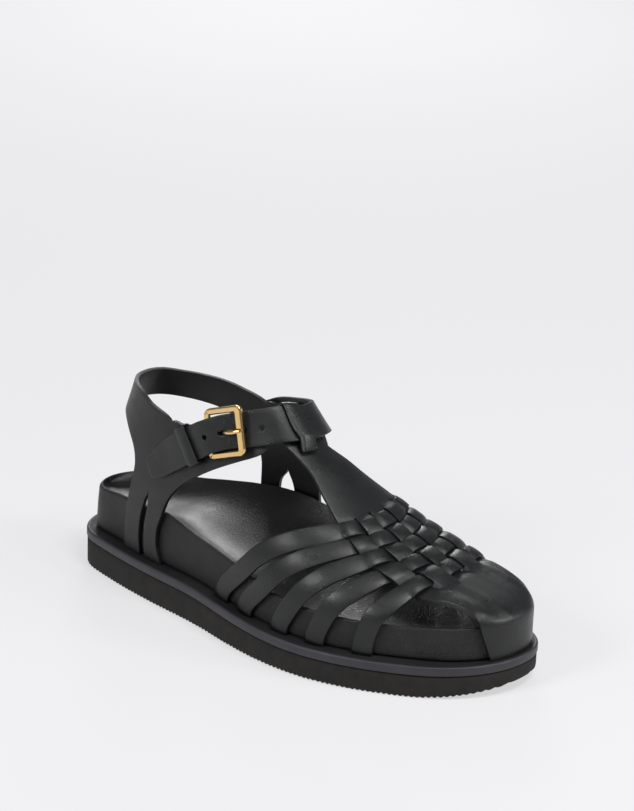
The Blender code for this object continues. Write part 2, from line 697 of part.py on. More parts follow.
def middle_row(x, cover=1.0):
    """Row of the middle piece over the instep or the weave; cover narrows a rounded end."""
    row = []
    for j, distance in enumerate(strip_columns(x)):
        turn = vamp_turn(x, distance * cover)
        strip = j // 3
        places = [cross_x(cross, turn) for cross in CROSSES]
        cross = float(np.interp(x, places, range(len(CROSSES))))
        if x < places[0]:
            cross = (x - places[0]) / (places[1] - places[0])
        if x > places[-1]:
            cross = len(CROSSES) - 1 + (x - places[-1]) / (places[-1] - places[-2])
        lift = -WEAVE_LIFT * weave_wave(strip, cross) - STRAP_PRESS * (1 - ease((to_along(x) - PRESS_END) / PRESS_FADE))
        row.append(vamp_point(x, turn) + vamp_normal(x, turn) * lift)
    return row


def toe_rows():
    """Rows of the toe piece, from the weave's last row over the toe down to the welt."""
    x = to_x(TOE_START)
    start = middle_row(x)
    back = middle_row(x - 4 * PROBE)
    feet = toe_feet(len(start))
    rows = []
    for share in np.linspace(0, 1, TOE_ROWS + 1)[1:]:
        row = []
        for begin, behind, (foot, rim) in zip(start, back, feet):
            reach = np.linalg.norm(rim - begin)
            lead = begin + unit(begin - behind) * reach * TOE_LEAD
            lead[1] = begin[1] + (rim[1] - begin[1]) * TOE_PINCH
            fall = rim + np.array([0, 0, 1.0]) * reach * TOE_FALL
            t = share
            point = begin * (1 - t) ** 3 + 3 * lead * t * (1 - t) ** 2 + 3 * fall * t * t * (1 - t) + rim * t ** 3
            row.append(point)
        rows.append(row)
    for share in (0.5, 1.0):
        rows.append([rim + (foot - rim) * share for foot, rim in feet])
    return rows


def toe_feet(count):
    """Places on the welt, and above them at the rim, where the toe piece comes down."""
    lateral, medial = WALL_LEATHER
    first = int(np.searchsorted(lateral[:, 0], to_x(TOE_CORNERS[0])))
    last = int(np.searchsorted(medial[:, 0], to_x(TOE_CORNERS[1])))
    edge = np.vstack([lateral[first:], medial[last:-1][::-1]])
    feet = []
    for x, y in resample(edge, np.linspace(0, 1, count)):
        rim = rim_height(x, y > 0) + GAP
        feet.append((np.array([x, y, welt_top(x) + GAP]), np.array([x, y, rim])))
    return feet


def shells(mesh):
    """Groups of faces that are joined over edges with two faces."""
    left = set(mesh.faces)
    groups = []
    while left:
        group, front = [], [left.pop()]
        while front:
            face = front.pop()
            group.append(face)
            for edge in face.edges:
                if len(edge.link_faces) == 2:
                    near = [other for other in edge.link_faces if other in left]
                    left.difference_update(near)
                    front.extend(near)
        groups.append(group)
    return groups


def one_shell(made):
    """The piece with its modifiers applied, without folds and small spaces sealed in the weave."""
    data = bpy.data.meshes.new_from_object(made.evaluated_get(bpy.context.evaluated_depsgraph_get()))
    mesh = bmesh.new()
    mesh.from_mesh(data)
    bmesh.ops.triangulate(mesh, faces=mesh.faces)
    groups = sorted(shells(mesh), key=len)
    extra = [face for group in groups[:-1] for face in group]
    bmesh.ops.delete(mesh, geom=extra, context="FACES")
    mesh.to_mesh(data)
    mesh.free()
    made.modifiers.clear()
    made.data = data
    return made


def woven_vamp():
    """Middle piece with its T-bar, five strips and toe, woven with five cross straps."""
    places = []
    for angle in np.linspace(0.0, math.pi / 2, PADDLE_ROWS + 1):
        x = to_x(PADDLE_START) + PADDLE_ROUND * (1 - math.cos(angle))
        places.append((x, max(math.sin(angle), PADDLE_FLAT)))
    start = to_x(PADDLE_START) + PADDLE_ROUND
    join = to_x(CROSSES[0].ridge) - 0.5 * (to_x(CROSSES[1].ridge) - to_x(CROSSES[0].ridge))
    places += [(x, 1.0) for x in np.linspace(start, join, TBAR_ROWS)[1:]]
    places += [(x, 1.0) for x in np.linspace(join, to_x(TOE_START), WEAVE_ROWS + 1)[1:]]
    rows = [middle_row(x, cover) for x, cover in places] + toe_rows()

    def keep(i, j):
        between = j % 3 == 2
        middle = 0.5 * (rows[i][j] + rows[i + 1][j + 1])
        turn = vamp_turn(middle[0], middle[1] - BALL_WIDTH * smooth(RIDGES, "across", to_along(middle[0])))
        first = cross_x(CROSSES[0], turn) - CROSS_STRAP * 0.5
        last = cross_x(CROSSES[-1], turn) + CROSS_STRAP * 0.35
        return not (between and first < middle[0] < last)

    made = grid_object("woven_vamp", rows, keep=keep)
    solidify(made, LEATHER)
    for index in range(len(CROSSES)):
        cross_strap(index)
    join = made.modifiers.new("woven", "BOOLEAN")
    join.operation = "UNION"
    join.solver = "EXACT"
    join.operand_type = "COLLECTION"
    join.collection = bpy.data.collections[CROSS_GUIDES]
    return one_shell(made)


def band_edge(table, edge, place):
    """Turn and height of a band's edge, at a place counted in rows of its table."""
    placed = [PlacedBand(*row, k) for k, row in enumerate(table)]
    return [smooth(placed, f"{edge}_{name}", place, "place") for name in ("turn", "height")]


def quarter_height(turn, height):
    """Height above the ground of a share of ANKLE_HEIGHT; the lowest ones start on the welt."""
    foot = welt_top(ankle_point(turn, OUTSOLE_HEEL + WELT_THICKNESS)[0]) + GAP
    low = FOOT_HEIGHT * ANKLE_HEIGHT
    if height >= FOOT_HEIGHT:
        return height * ANKLE_HEIGHT
    return foot + (low - foot) * height / FOOT_HEIGHT


def band_rows(table):
    """Rows of points across a band of the quarter, refined between the table's rows.

    Between its slit and the top edge, a tab takes its inner edge from the rear band.
    """
    rows = []
    count = len(table)
    for place in np.linspace(0, count - 1, (count - 1) * BAND_STEPS + 1):
        outer = band_edge(table, "outer", place)
        inner = band_edge(table, "inner", place)
        if table is OUTER_TAB and OUTER_SEAM[0] <= place <= OUTER_SEAM[1]:
            inner = band_edge(REAR_BAND, "inner", place)
        if table is INNER_TAB and INNER_SEAM[0] <= place <= INNER_SEAM[1]:
            inner = band_edge(REAR_BAND, "inner", INNER_SADDLE + INNER_SEAM[1] - place)
        row = []
        for share in np.linspace(0, 1, BAND_COLUMNS + 1):
            turn = outer[0] + (inner[0] - outer[0]) * share
            height = outer[1] + (inner[1] - outer[1]) * share
            row.append(ankle_point(turn, quarter_height(turn, height)))
        rows.append(row)
    return rows


def heel_quarter():
    """Both quarters with their slits, the heel strap between them and the two tabs."""
    mesh = bmesh.new()
    for table in (REAR_BAND, OUTER_TAB, INNER_TAB):
        rows = band_rows(table)
        verts = [[mesh.verts.new(point) for point in row] for row in rows]
        for row, ahead in zip(verts, verts[1:]):
            for j in range(BAND_COLUMNS):
                mesh.faces.new((row[j], row[j + 1], ahead[j + 1], ahead[j]))
    bmesh.ops.remove_doubles(mesh, verts=mesh.verts, dist=SEAM_MERGE)
    bmesh.ops.recalc_face_normals(mesh, faces=mesh.faces)
    made = mesh_object("heel_quarter", mesh)
    return solidify(made, LEATHER)


def strap_place(place):
    """Turn, height, lift and width of the ankle strap at a place counted in rows of its table."""
    rows = [PlacedRun(*row, k) for k, row in enumerate(STRAP_RUN)]
    turn, height, lift, width = (smooth(rows, name, place, "place") for name in Run._fields)
    base = LEATHER + GAP
    stacked = base + max(lift, 0.0) * (THIN_LEATHER + GAP)
    return turn, height * ANKLE_HEIGHT, stacked, width * ANKLE_STRAP


def strap_frame(place):
    """Centre of the strap, its direction to the front, its upward side and its outward normal."""
    def centre(at):
        turn, z, lift, width = strap_place(at)
        return ankle_point(turn, z) + ankle_normal(turn, z) * lift

    ahead = unit(centre(place + 0.1) - centre(place - 0.1))
    turn, z, lift, width = strap_place(place)
    out = ankle_normal(turn, z)
    up = unit(np.cross(out, ahead))
    if up[2] < 0:
        up = -up
    return centre(place), ahead, up, unit(np.cross(ahead, up)) * math.copysign(1, np.cross(ahead, up) @ out)


def ankle_strap():
    """Long strap from its tip on the outer quarter, through the buckle and loop, to the inner quarter."""
    last = len(STRAP_RUN) - 1
    places = list(np.linspace(0, last, last * STRAP_STEPS + 1))
    path, widths, lifts = [], [], []
    for place in places:
        turn, z, lift, width = strap_place(place)
        path.append((turn, z))
        widths.append(width)
        lifts.append(lift)
    rows = ribbon(ankle_point, ankle_normal, path, widths, lifts, STRAP_COLUMNS)
    made = grid_object("ankle_strap", rounded_ends(rows))
    solidify(made, LEATHER)
    hole = prong_hole()
    combine(made, hole, "DIFFERENCE")
    return made


def rounded_ends(rows):
    """Pull the end rows' outer points back, so that the strap's tip has round corners."""
    first, second = rows[0], rows[1]
    back = [unit(b - a) * TIP_ROUND for a, b in zip(first, second)]
    shaped = []
    for j, point in enumerate(first):
        side = abs(2 * j / (len(first) - 1) - 1)
        shaped.append(point + back[j] * side ** 3)
    return [shaped] + rows[1:]


def strap_point(place, up, out):
    """Point of the bent strap: up from its centre line, and out from the middle of its leather."""
    turn, z, lift, width = strap_place(place)
    behind, ahead = strap_place(place - 1 / STRAP_STEPS), strap_place(place + 1 / STRAP_STEPS)
    along = unit(ankle_point(*ahead[:2]) - ankle_point(*behind[:2]))
    spot = beside(ankle_point, ankle_normal, (turn, z), along, up)
    return ankle_point(*spot) + ankle_normal(*spot) * (lift + out)


def loop_rows(place, width, path, stations):
    """Rows of a band that runs round the strap; path holds (up, out) in the strap's section."""
    span = width / (strap_length(place))
    return [
        [strap_point(place + share * span, up, out) for up, out in path]
        for share in np.linspace(-0.5, 0.5, stations)
    ]


def strap_length(place):
    """Length of the strap for one row of its table, near a place."""
    return float(np.linalg.norm(strap_frame(place + 0.2)[0] - strap_frame(place - 0.2)[0]) / 0.4)


def ring_path(half_up, half_out, corner, steps):
    """Closed rounded rectangle in the strap's section."""
    path = []
    corners = ((1, 1), (-1, 1), (-1, -1), (1, -1))
    for k, (sv, sn) in enumerate(corners):
        for step in range(steps + 1):
            angle = math.pi / 2 * (k + step / steps)
            v = sv * (half_up - corner) + corner * math.cos(angle)
            n = sn * (half_out - corner) + corner * math.sin(angle)
            path.append((v, n))
    return path


def keeper():
    """Leather loop round the strap, behind the buckle."""
    width = strap_place(KEEPER_PLACE)[3]
    half_up = width / 2 + STRAP_FIT + THIN_LEATHER / 2
    half_out = LEATHER / 2 + STRAP_FIT + THIN_LEATHER / 2
    path = ring_path(half_up, half_out, THIN_LEATHER * 0.8, 2)
    rows = loop_rows(KEEPER_PLACE, KEEPER_WIDTH, path, 3)
    made = grid_object("keeper", rows, closed_rows=True)
    return solidify(made, THIN_LEATHER)


def tbar_loop():
    """Loop on the T-bar: over the strap's face and top edge, and down behind it."""
    half_up = ANKLE_STRAP / 2 + STRAP_FIT + THIN_LEATHER / 2
    half_out = LEATHER / 2 + STRAP_FIT + THIN_LEATHER / 2
    fold = [(half_up - half_out + half_out * math.sin(a), -half_out * math.cos(a))
            for a in np.linspace(0, math.pi, 7)]
    back = [(v, -half_out) for v in np.linspace(-half_up * 0.7, half_up - half_out, 4)[:-1]]
    front = [(v, half_out) for v in np.linspace(half_up - half_out, -half_up + half_out, 5)[1:]]
    rows = loop_rows(LOOP_PLACE, LOOP_WIDTH, back + fold + front, 4)
    shaped = []
    for row in rows:
        shaped.append(row + loop_tail(row[-1]))
    made = grid_object("tbar_loop", shaped)
    return solidify(made, THIN_LEATHER)


def loop_tail(start):
    """Points of the loop's stitched tail, which lies on the T-bar under the strap."""
    points = []
    ridge = BALL_WIDTH * smooth(RIDGES, "across", to_along(start[0]))
    distance = start[1] - ridge
    lift = LEATHER / 2 + GAP + THIN_LEATHER / 2
    for step in (0.45, 0.75, 1.0):
        x = start[0] + LOOP_TAIL * step
        turn = vamp_turn(x, distance)
        points.append(vamp_point(x, turn) + vamp_normal(x, turn) * lift)
    return points


def buckle_height():
    """Outer height of the buckle: the strap passes between its bars."""
    return ANKLE_STRAP + 2 * (STRAP_FIT + BUCKLE_BAR)


def bar_out(along):
    """How far a bar's middle stands out from the strap's middle, along the buckle."""
    reach = BUCKLE_LENGTH / 2 - BUCKLE_BAR / 2
    share = (along + reach) / (2 * reach)
    return PIVOT_BAR_OUT + (FREE_BAR_OUT - PIVOT_BAR_OUT) * min(max(share, 0.0), 1.0)


def buckle_frame():
    """Rectangular frame with bevelled bars: a thin pivot bar behind the strap, a free bar over it."""
    origin, ahead, up, out = strap_frame(BUCKLE_PLACE)
    half_u = BUCKLE_LENGTH / 2 - BUCKLE_BAR / 2
    half_v = buckle_height() / 2 - BUCKLE_BAR / 2
    rows = []
    for k, (su, sv) in enumerate(((1, 1), (-1, 1), (-1, -1), (1, -1))):
        for step in range(4):
            angle = math.pi / 2 * (k + step / 3)
            direction = (math.cos(angle), math.sin(angle))
            u = su * (half_u - BUCKLE_CORNER) + BUCKLE_CORNER * direction[0]
            v = sv * (half_v - BUCKLE_CORNER) + BUCKLE_CORNER * direction[1]
            thin = 1.0 if u > -half_u * 0.9 else PIVOT_DIAMETER / BAR_DEPTH
            rows.append(bar_section(u, v, direction, thin, origin, ahead, up, out))
    rows.append(rows[0])
    return grid_object("buckle_frame", rows, closed_rows=True)


def bar_section(u, v, direction, thin, origin, ahead, up, out):
    """Bevelled section of a bar, square to its run."""
    points = []
    half, depth = BUCKLE_BAR / 2, BAR_DEPTH / 2 * thin
    flat, rise = half * BAR_BEVEL, depth * BAR_BEVEL
    section = (
        (half, rise), (flat, depth), (-flat, depth), (-half, rise),
        (-half, -rise), (-flat, -depth), (flat, -depth), (half, -rise),
    )
    for across, lift in section:
        place_u, place_v = u + direction[0] * across, v + direction[1] * across
        points.append(origin + ahead * place_u + up * place_v + out * (bar_out(place_u) + lift))
    return points


def prong_points():
    """Middle line of the prong, from beside the pivot bar through the strap to the free bar."""
    origin, ahead, up, out = strap_frame(BUCKLE_PLACE)
    over = FREE_BAR_OUT + BAR_DEPTH / 2 + GAP + PRONG_DIAMETER / 2
    return [origin + ahead * (row.ahead * BUCKLE_LENGTH) + out * (row.out * over) for row in PRONG_ROUTE]


def tube(name, points, radius):
    """Round wire along points, as a mesh."""
    curve = bpy.data.curves.new(name + "_curve", "CURVE")
    curve.dimensions = "3D"
    curve.bevel_depth = radius
    curve.bevel_resolution = 2
    curve.use_fill_caps = True
    spline = curve.splines.new("POLY")
    spline.points.add(len(points) - 1)
    for spot, point in zip(spline.points, points):
        spot.co = (*point, 1.0)
    made = bpy.data.objects.new(name + "_curve", curve)
    bpy.context.scene.collection.objects.link(made)
    data = bpy.data.meshes.new_from_object(made.evaluated_get(bpy.context.evaluated_depsgraph_get()))
    bpy.data.objects.remove(made, do_unlink=True)
    mesh = bmesh.new()
    mesh.from_mesh(data)
    bmesh.ops.remove_doubles(mesh, verts=mesh.verts, dist=MERGE)
    bpy.data.meshes.remove(data)
    return mesh


def buckle_prong():
    return mesh_object("buckle_prong", tube("buckle_prong", prong_points(), PRONG_DIAMETER / 2))


def prong_hole():
    """Cutter for the strap's hole that the prong comes up through."""
    origin, ahead, up, out = strap_frame(BUCKLE_PLACE)
    mesh = bmesh.new()
    bmesh.ops.create_cube(mesh, size=1.0)
    for vert in mesh.verts:
        u, v, n = vert.co
        place = ahead * (u * HOLE_LENGTH - HOLE_BACK) + up * (v * (PRONG_DIAMETER + 4 * GAP)) + out * (n * 5 * LEATHER)
        vert.co = Vector(origin + place)
    bmesh.ops.recalc_face_normals(mesh, faces=mesh.faces)
    made = mesh_object("prong_hole", mesh)
    as_guide(made)
    return made


def clear_scene():
    """Start from an empty scene with the collections."""
    for made in list(bpy.data.objects):
        bpy.data.objects.remove(made, do_unlink=True)
    for name in (COLLECTION, GUIDES, CROSS_GUIDES):
        if name not in bpy.data.collections:
            made = bpy.data.collections.new(name)
            bpy.context.scene.collection.children.link(made)


def paint(made):
    """Give a piece its own material."""
    finish = FINISHES[made.name]
    material = bpy.data.materials.new(made.name)
    material.use_nodes = True
    shader = material.node_tree.nodes["Principled BSDF"]
    shader.inputs["Base Color"].default_value = (*finish.colour, 1.0)
    shader.inputs["Roughness"].default_value = finish.roughness
    shader.inputs["Metallic"].default_value = finish.metallic
    made.data.materials.append(material)


clear_scene()
for build in (
    outsole, welt, footbed, woven_vamp, heel_quarter,
    ankle_strap, tbar_loop, keeper, buckle_frame, buckle_prong,
):
    paint(build())
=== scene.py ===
"""The looks of a woven leather fisherman sandal for the right foot.

The frame: +X to the toe, +Y to the inner side, +Z up, with the origin on the ground under the
middle of the sole. Metres throughout. A table's rows are read from heel to toe and hold shares of
the named sizes, except where a column says otherwise.
"""
import math
from bisect import bisect_left
from collections import namedtuple

import bmesh
import bpy
import numpy as np
from mathutils import Matrix, Vector


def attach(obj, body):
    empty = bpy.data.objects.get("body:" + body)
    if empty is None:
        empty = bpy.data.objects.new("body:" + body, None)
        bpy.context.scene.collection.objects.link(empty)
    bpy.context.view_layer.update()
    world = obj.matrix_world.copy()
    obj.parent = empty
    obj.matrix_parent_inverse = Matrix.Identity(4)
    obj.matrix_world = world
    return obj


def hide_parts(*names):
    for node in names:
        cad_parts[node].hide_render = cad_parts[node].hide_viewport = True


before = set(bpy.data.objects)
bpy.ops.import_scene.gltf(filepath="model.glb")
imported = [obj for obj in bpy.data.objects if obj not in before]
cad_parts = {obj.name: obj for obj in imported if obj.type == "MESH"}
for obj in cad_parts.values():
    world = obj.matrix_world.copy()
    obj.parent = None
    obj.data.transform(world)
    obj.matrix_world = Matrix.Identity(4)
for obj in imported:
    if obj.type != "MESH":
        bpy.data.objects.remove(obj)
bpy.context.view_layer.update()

# Driving sizes of the sole
LENGTH = 0.2605
BALL_WIDTH = 0.0985
OUTSOLE_HEEL = 0.0147
OUTSOLE_FORE = 0.0115
TOE_BEVEL = 0.0055
TOE_SPRING = 0.0015
TOE_BREAK = 0.86
TOE_CURVE = 1.8
HEEL_DROP = (0.30, 0.65)
WELT_THICKNESS = 0.0048
WELT_PROUD = 0.0004
WELT_ROUND = 0.0009
WELT_CHAMFER = 0.3
SHELF_START = 1.6
ARCH_HEIGHT = 0.056
ARCH_CURVE = 1.5
FOOTBED_INSET = 0.0070
HEEL_INSET = 0.0046
TOE_INSET = 0.0048
HEEL_REACH = 0.12
TOE_REACH = 0.14
FOOTBED_DRAFT = 0.0012
FOOTBED_ROUND = 0.0016
DRAFT_CURVE = 1.5
WALL_START = 0.06
RIPPLE_PITCH = 0.0025
RIPPLE_DEPTH = 0.0011
RIPPLE_SHARPNESS = 1.6
RIPPLE_UNEVEN = 0.2
RIPPLE_WAVES = (410.0, 173.0)

# Driving sizes of the upper
LEATHER = 0.0020
CROSS_LEATHER = 0.0019
THIN_LEATHER = 0.0012
EDGE_ROUND = 0.0004
RIDGE_HEIGHT = 0.116
CROSS_STRAP = 0.0100
STRIP_GAP = 0.0018
WEAVE_LIFT = 0.0013
WEAVE_NARROW = 0.17
RIM_SOFTENING = 26
RIM_REACH = 0.20
ANKLE_HEIGHT = 0.105
ANKLE_WIDTH = 0.0525
ANKLE_STRAP = 0.0178
LOOP_WIDTH = 0.0088
KEEPER_WIDTH = 0.0066
KEEPER_PUFF = 0.00055
KEEPER_CORNER = 0.8
LOOP_ROUND = 0.0003
STRAP_CROWN = 0.0001
END_THIN = 0.6
NARROW_REACH = 1.2
SLOTS_BEFORE = 0.50
SLOTS_AFTER = 0.40

# Pressed line along each edge of the ankle strap: distance from the edge, width and depth
STRAP_CREASE = (0.0019, 0.00045, 0.00016)

# Driving sizes of the buckle and of the holes in the strap
BUCKLE_LENGTH = 0.0220
BUCKLE_BAR = 0.0032
FREE_BAR = 0.0043
BAR_ROUND = 0.00022
PIVOT_SHARE = 0.9
FREE_START = 0.25
FREE_REACH = 0.15
PRONG_ROUND = 0.0003
PRONG_TIP = 0.72
PIVOT_DIAMETER = 0.0022
PRONG_DIAMETER = 0.0022
HOLE_DIAMETER = 0.0026
HOLE_PITCH = 0.0105

# Clearances between pieces, and of what runs round the strap
GAP = 0.0003
STRAP_FIT = 0.00045

Edge = namedtuple("Edge", "along across")
OUTLINE = [
    Edge(0.000, 0.001), Edge(0.026, -0.175), Edge(0.085, -0.253), Edge(0.175, -0.318),
    Edge(0.280, -0.374), Edge(0.375, -0.420), Edge(0.472, -0.488), Edge(0.572, -0.536),
    Edge(0.671, -0.537), Edge(0.768, -0.478), Edge(0.855, -0.381), Edge(0.926, -0.263),
    Edge(0.977, -0.113), Edge(1.000, 0.057), Edge(0.992, 0.221), Edge(0.944, 0.346),
    Edge(0.870, 0.425), Edge(0.777, 0.462), Edge(0.677, 0.449), Edge(0.578, 0.385),
    Edge(0.479, 0.329), Edge(0.380, 0.322), Edge(0.281, 0.342), Edge(0.172, 0.345),
    Edge(0.082, 0.283), Edge(0.027, 0.177),
]
TOE_ROW = 13

# Rings up the outsole's edge and the footbed's foot: insets and lifts in metres
SoleRing = namedtuple("SoleRing", "inset side lift")
OUTSOLE_RINGS = [
    SoleRing(0.0007, "bottom", 0.0), SoleRing(0.0002, "bottom", 0.0004),
    SoleRing(0.0000, "bottom", 0.0012), SoleRing(0.0000, "top", -0.0035),
    SoleRing(0.0000, "top", -0.0007), SoleRing(0.0003, "top", -0.0002), SoleRing(0.0009, "top", 0.0),
]
WallLevel = namedtuple("WallLevel", "inset share lift")
FOOTBED_BASE = [WallLevel(0.0012, 0.0, 0.0), WallLevel(0.0003, 0.0, 0.0005)]

# Footbed: rim heights and bowl depth as shares of ARCH_HEIGHT, square is the bowl's flatness
Rim = namedtuple("Rim", "along lateral medial bowl square")
RIMS = [
    Rim(0.00, 0.750, 0.750, 0.000, 2.5), Rim(0.04, 0.765, 0.765, 0.075, 2.5),
    Rim(0.10, 0.786, 0.786, 0.130, 2.6), Rim(0.18, 0.812, 0.805, 0.140, 2.8),
    Rim(0.26, 0.850, 0.880, 0.130, 3.0), Rim(0.33, 0.777, 0.950, 0.100, 3.2),
    Rim(0.42, 0.722, 1.000, 0.085, 3.6), Rim(0.48, 0.690, 0.970, 0.075, 4.0),
    Rim(0.57, 0.605, 0.820, 0.060, 5.0), Rim(0.68, 0.582, 0.660, 0.050, 6.0),
    Rim(0.80, 0.585, 0.610, 0.048, 6.0), Rim(0.92, 0.605, 0.625, 0.042, 5.0),
    Rim(0.97, 0.620, 0.632, 0.025, 4.0), Rim(1.00, 0.635, 0.635, 0.000, 4.0),
]

# Ridge of the last: height as a share of RIDGE_HEIGHT, across as a share of BALL_WIDTH, and how
# full the section is on its outer and inner sides (2 is an ellipse)
Ridge = namedtuple("Ridge", "along height across outer inner")
RIDGES = [
    Ridge(0.410, 1.075, -0.068, 1.55, 2.50), Ridge(0.448, 1.026, -0.068, 1.55, 2.50),
    Ridge(0.474, 0.974, -0.068, 1.58, 2.50), Ridge(0.529, 0.845, -0.064, 1.72, 2.50),
    Ridge(0.570, 0.765, -0.038, 1.82, 2.50), Ridge(0.602, 0.704, -0.010, 1.87, 2.50),
    Ridge(0.636, 0.647, 0.018, 1.87, 2.55), Ridge(0.680, 0.587, 0.026, 1.87, 2.65),
    Ridge(0.717, 0.542, 0.033, 1.87, 2.80), Ridge(0.749, 0.508, 0.044, 1.87, 2.95),
    Ridge(0.792, 0.472, 0.054, 1.87, 3.10), Ridge(0.832, 0.441, 0.058, 1.87, 3.10),
    Ridge(0.882, 0.402, 0.055, 1.87, 3.00), Ridge(0.951, 0.325, 0.057, 1.87, 2.80),
    Ridge(0.980, 0.284, 0.057, 1.87, 2.80),
]

# Cross straps: places along the sole of the outer foot, the ridge crossing and the inner foot
Cross = namedtuple("Cross", "lateral ridge medial")
CROSSES = [
    Cross(0.434, 0.690, 0.500), Cross(0.502, 0.724, 0.565), Cross(0.594, 0.756, 0.640),
    Cross(0.674, 0.792, 0.715), Cross(0.766, 0.833, 0.790),
]
CROSS_SWEEP = 0.93

# Middle piece: distances of its two edges from the ridge, as shares of BALL_WIDTH
Middle = namedtuple("Middle", "along lateral medial")
MIDDLES = [
    Middle(0.400, 0.165, 0.115), Middle(0.440, 0.175, 0.120), Middle(0.500, 0.118, 0.125),
    Middle(0.530, 0.100, 0.135), Middle(0.560, 0.112, 0.160), Middle(0.600, 0.170, 0.190),
    Middle(0.640, 0.230, 0.220), Middle(0.680, 0.265, 0.250), Middle(0.760, 0.300, 0.270),
    Middle(0.830, 0.290, 0.275),
]
STRIPS = 5
STRIP_SHARES = (-1.0, -0.86, -0.5, 0.0, 0.5, 0.86, 1.0)
STRIP_CROWN = 0.00035
PADDLE_START = 0.471
STRAP_PRESS = 0.0015
PRESS_END = 0.53
PRESS_FADE = 0.05
PADDLE_ROUND = 0.0070
TOE_START = 0.842
TOE_RIMS = (0.952, 0.950)
TOE_CORNERS = (0.966, 0.964)
TOE_LEAD = 0.42
TOE_FALL = 0.16
TOE_PINCH = 0.75
TOE_FADE = 0.16
TOE_EDGE_LIFT = 0.0048
TOE_WALL_SHARES = (0.2, 0.4, 0.6, 0.8, 1.0)
PADDLE_FLAT = 0.35

# Ankle opening: shares of LENGTH for its length and places
HEEL_BACK = 0.118
FRONT_PLACE = 0.502
HEEL_LEAN = 0.36
FRONT_LEAN = 0.90
ANKLE_SQUARE = 2.35
ANKLE_ACROSS = -0.008
SIDE_START = 0.2

# Quarter and heel strap: outer is the lower or free edge, inner is the slit, seam or top edge.
# Turns are shares of a full turn round the ankle, heights are shares of ANKLE_HEIGHT
Band = namedtuple("Band", "outer_turn outer_height inner_turn inner_height")
REAR_BAND = [
    Band(-0.1464, 0.000, -0.1674, 0.000), Band(-0.1434, 0.333, -0.1648, 0.333),
    Band(-0.1447, 0.476, -0.1702, 0.476), Band(-0.1490, 0.610, -0.1775, 0.548),
    Band(-0.1472, 0.683, -0.1849, 0.648), Band(-0.1378, 0.745, -0.1941, 0.781),
    Band(-0.1182, 0.805, -0.2116, 0.930), Band(-0.0967, 0.845, -0.1657, 0.984),
    Band(-0.0679, 0.868, -0.1293, 1.020), Band(-0.0381, 0.874, -0.0725, 1.031),
    Band(0.0000, 0.876, 0.0000, 1.027), Band(0.0381, 0.876, 0.0632, 1.016),
    Band(0.0771, 0.870, 0.1105, 1.000), Band(0.1190, 0.858, 0.1507, 0.992),
    Band(0.1551, 0.848, 0.1868, 0.984), Band(0.1878, 0.832, 0.2229, 0.966),
    Band(0.2140, 0.790, 0.2676, 0.924), Band(0.2324, 0.720, 0.2827, 0.800),
    Band(0.2389, 0.640, 0.2759, 0.629), Band(0.2330, 0.500, 0.2585, 0.533),
    Band(0.2252, 0.300, 0.2479, 0.330), Band(0.2195, 0.000, 0.2395, 0.000),
]
OUTER_TAB = [
    Band(-0.1926, 0.000, -0.1738, 0.000), Band(-0.1878, 0.314, -0.1720, 0.324),
    Band(-0.1955, 0.448, -0.1756, 0.457), Band(-0.2072, 0.557, -0.1775, 0.548),
    Band(-0.2241, 0.638, -0.1849, 0.648), Band(-0.2454, 0.700, -0.1941, 0.781),
    Band(-0.2683, 0.752, -0.2116, 0.930), Band(-0.2928, 0.797, -0.2371, 0.938),
    Band(-0.3198, 0.838, -0.2668, 0.962), Band(-0.3414, 0.865, -0.3084, 0.988),
    Band(-0.3596, 0.888, -0.3414, 0.997), Band(-0.3741, 0.915, -0.3605, 0.995),
    Band(-0.3701, 0.945, -0.3641, 0.980),
]
INNER_TAB = [
    Band(0.2798, 0.000, 0.2569, 0.000), Band(0.2913, 0.300, 0.2676, 0.330),
    Band(0.3074, 0.540, 0.2771, 0.533), Band(0.3225, 0.629, 0.2759, 0.629),
    Band(0.3406, 0.705, 0.2827, 0.800), Band(0.3588, 0.790, 0.2676, 0.924),
    Band(0.3724, 0.855, 0.2985, 0.945), Band(0.3835, 0.900, 0.3317, 0.975),
    Band(0.3895, 0.940, 0.3622, 0.985),
]
# Rows of each tab's table where it is joined to the rear band, and the rear band's row there
OUTER_SEAM = (3, 6)
INNER_SEAM = (3, 5)
INNER_SADDLE = 16
FOOT_HEIGHT = 0.29

# Ankle strap's centre line: turn round the ankle, height as a share of ANKLE_HEIGHT, lift off the
# quarter in layers of thin leather, width as a share of ANKLE_STRAP
Run = namedtuple("Run", "turn height lift width")
STRAP_RUN = [
    Run(-0.1793, 0.668, 0.00, 0.62), Run(-0.1941, 0.712, 0.00, 0.80), Run(-0.2126, 0.771, 0.30, 0.92),
    Run(-0.2382, 0.838, 1.25, 1.00), Run(-0.2611, 0.882, 1.60, 1.00), Run(-0.2838, 0.926, 2.35, 1.00),
    Run(-0.3160, 0.966, 1.45, 1.00), Run(-0.3484, 0.988, 0.75, 1.00), Run(-0.3793, 1.000, 0.72, 1.00),
    Run(-0.4139, 1.007, 1.30, 1.00), Run(-0.4465, 1.004, 1.30, 1.00), Run(-0.5000, 0.993, 0.85, 1.00),
    Run(-0.5485, 0.985, 0.70, 1.00), Run(-0.5861, 0.971, 0.50, 1.00), Run(-0.6293, 0.946, 0.10, 1.00),
    Run(-0.6729, 0.915, 0.00, 1.00), Run(-0.7119, 0.885, 0.00, 1.00), Run(-0.7416, 0.850, 0.00, 0.90),
]
TIP_ROUND = 0.004
TIP_PINCH = 0.30

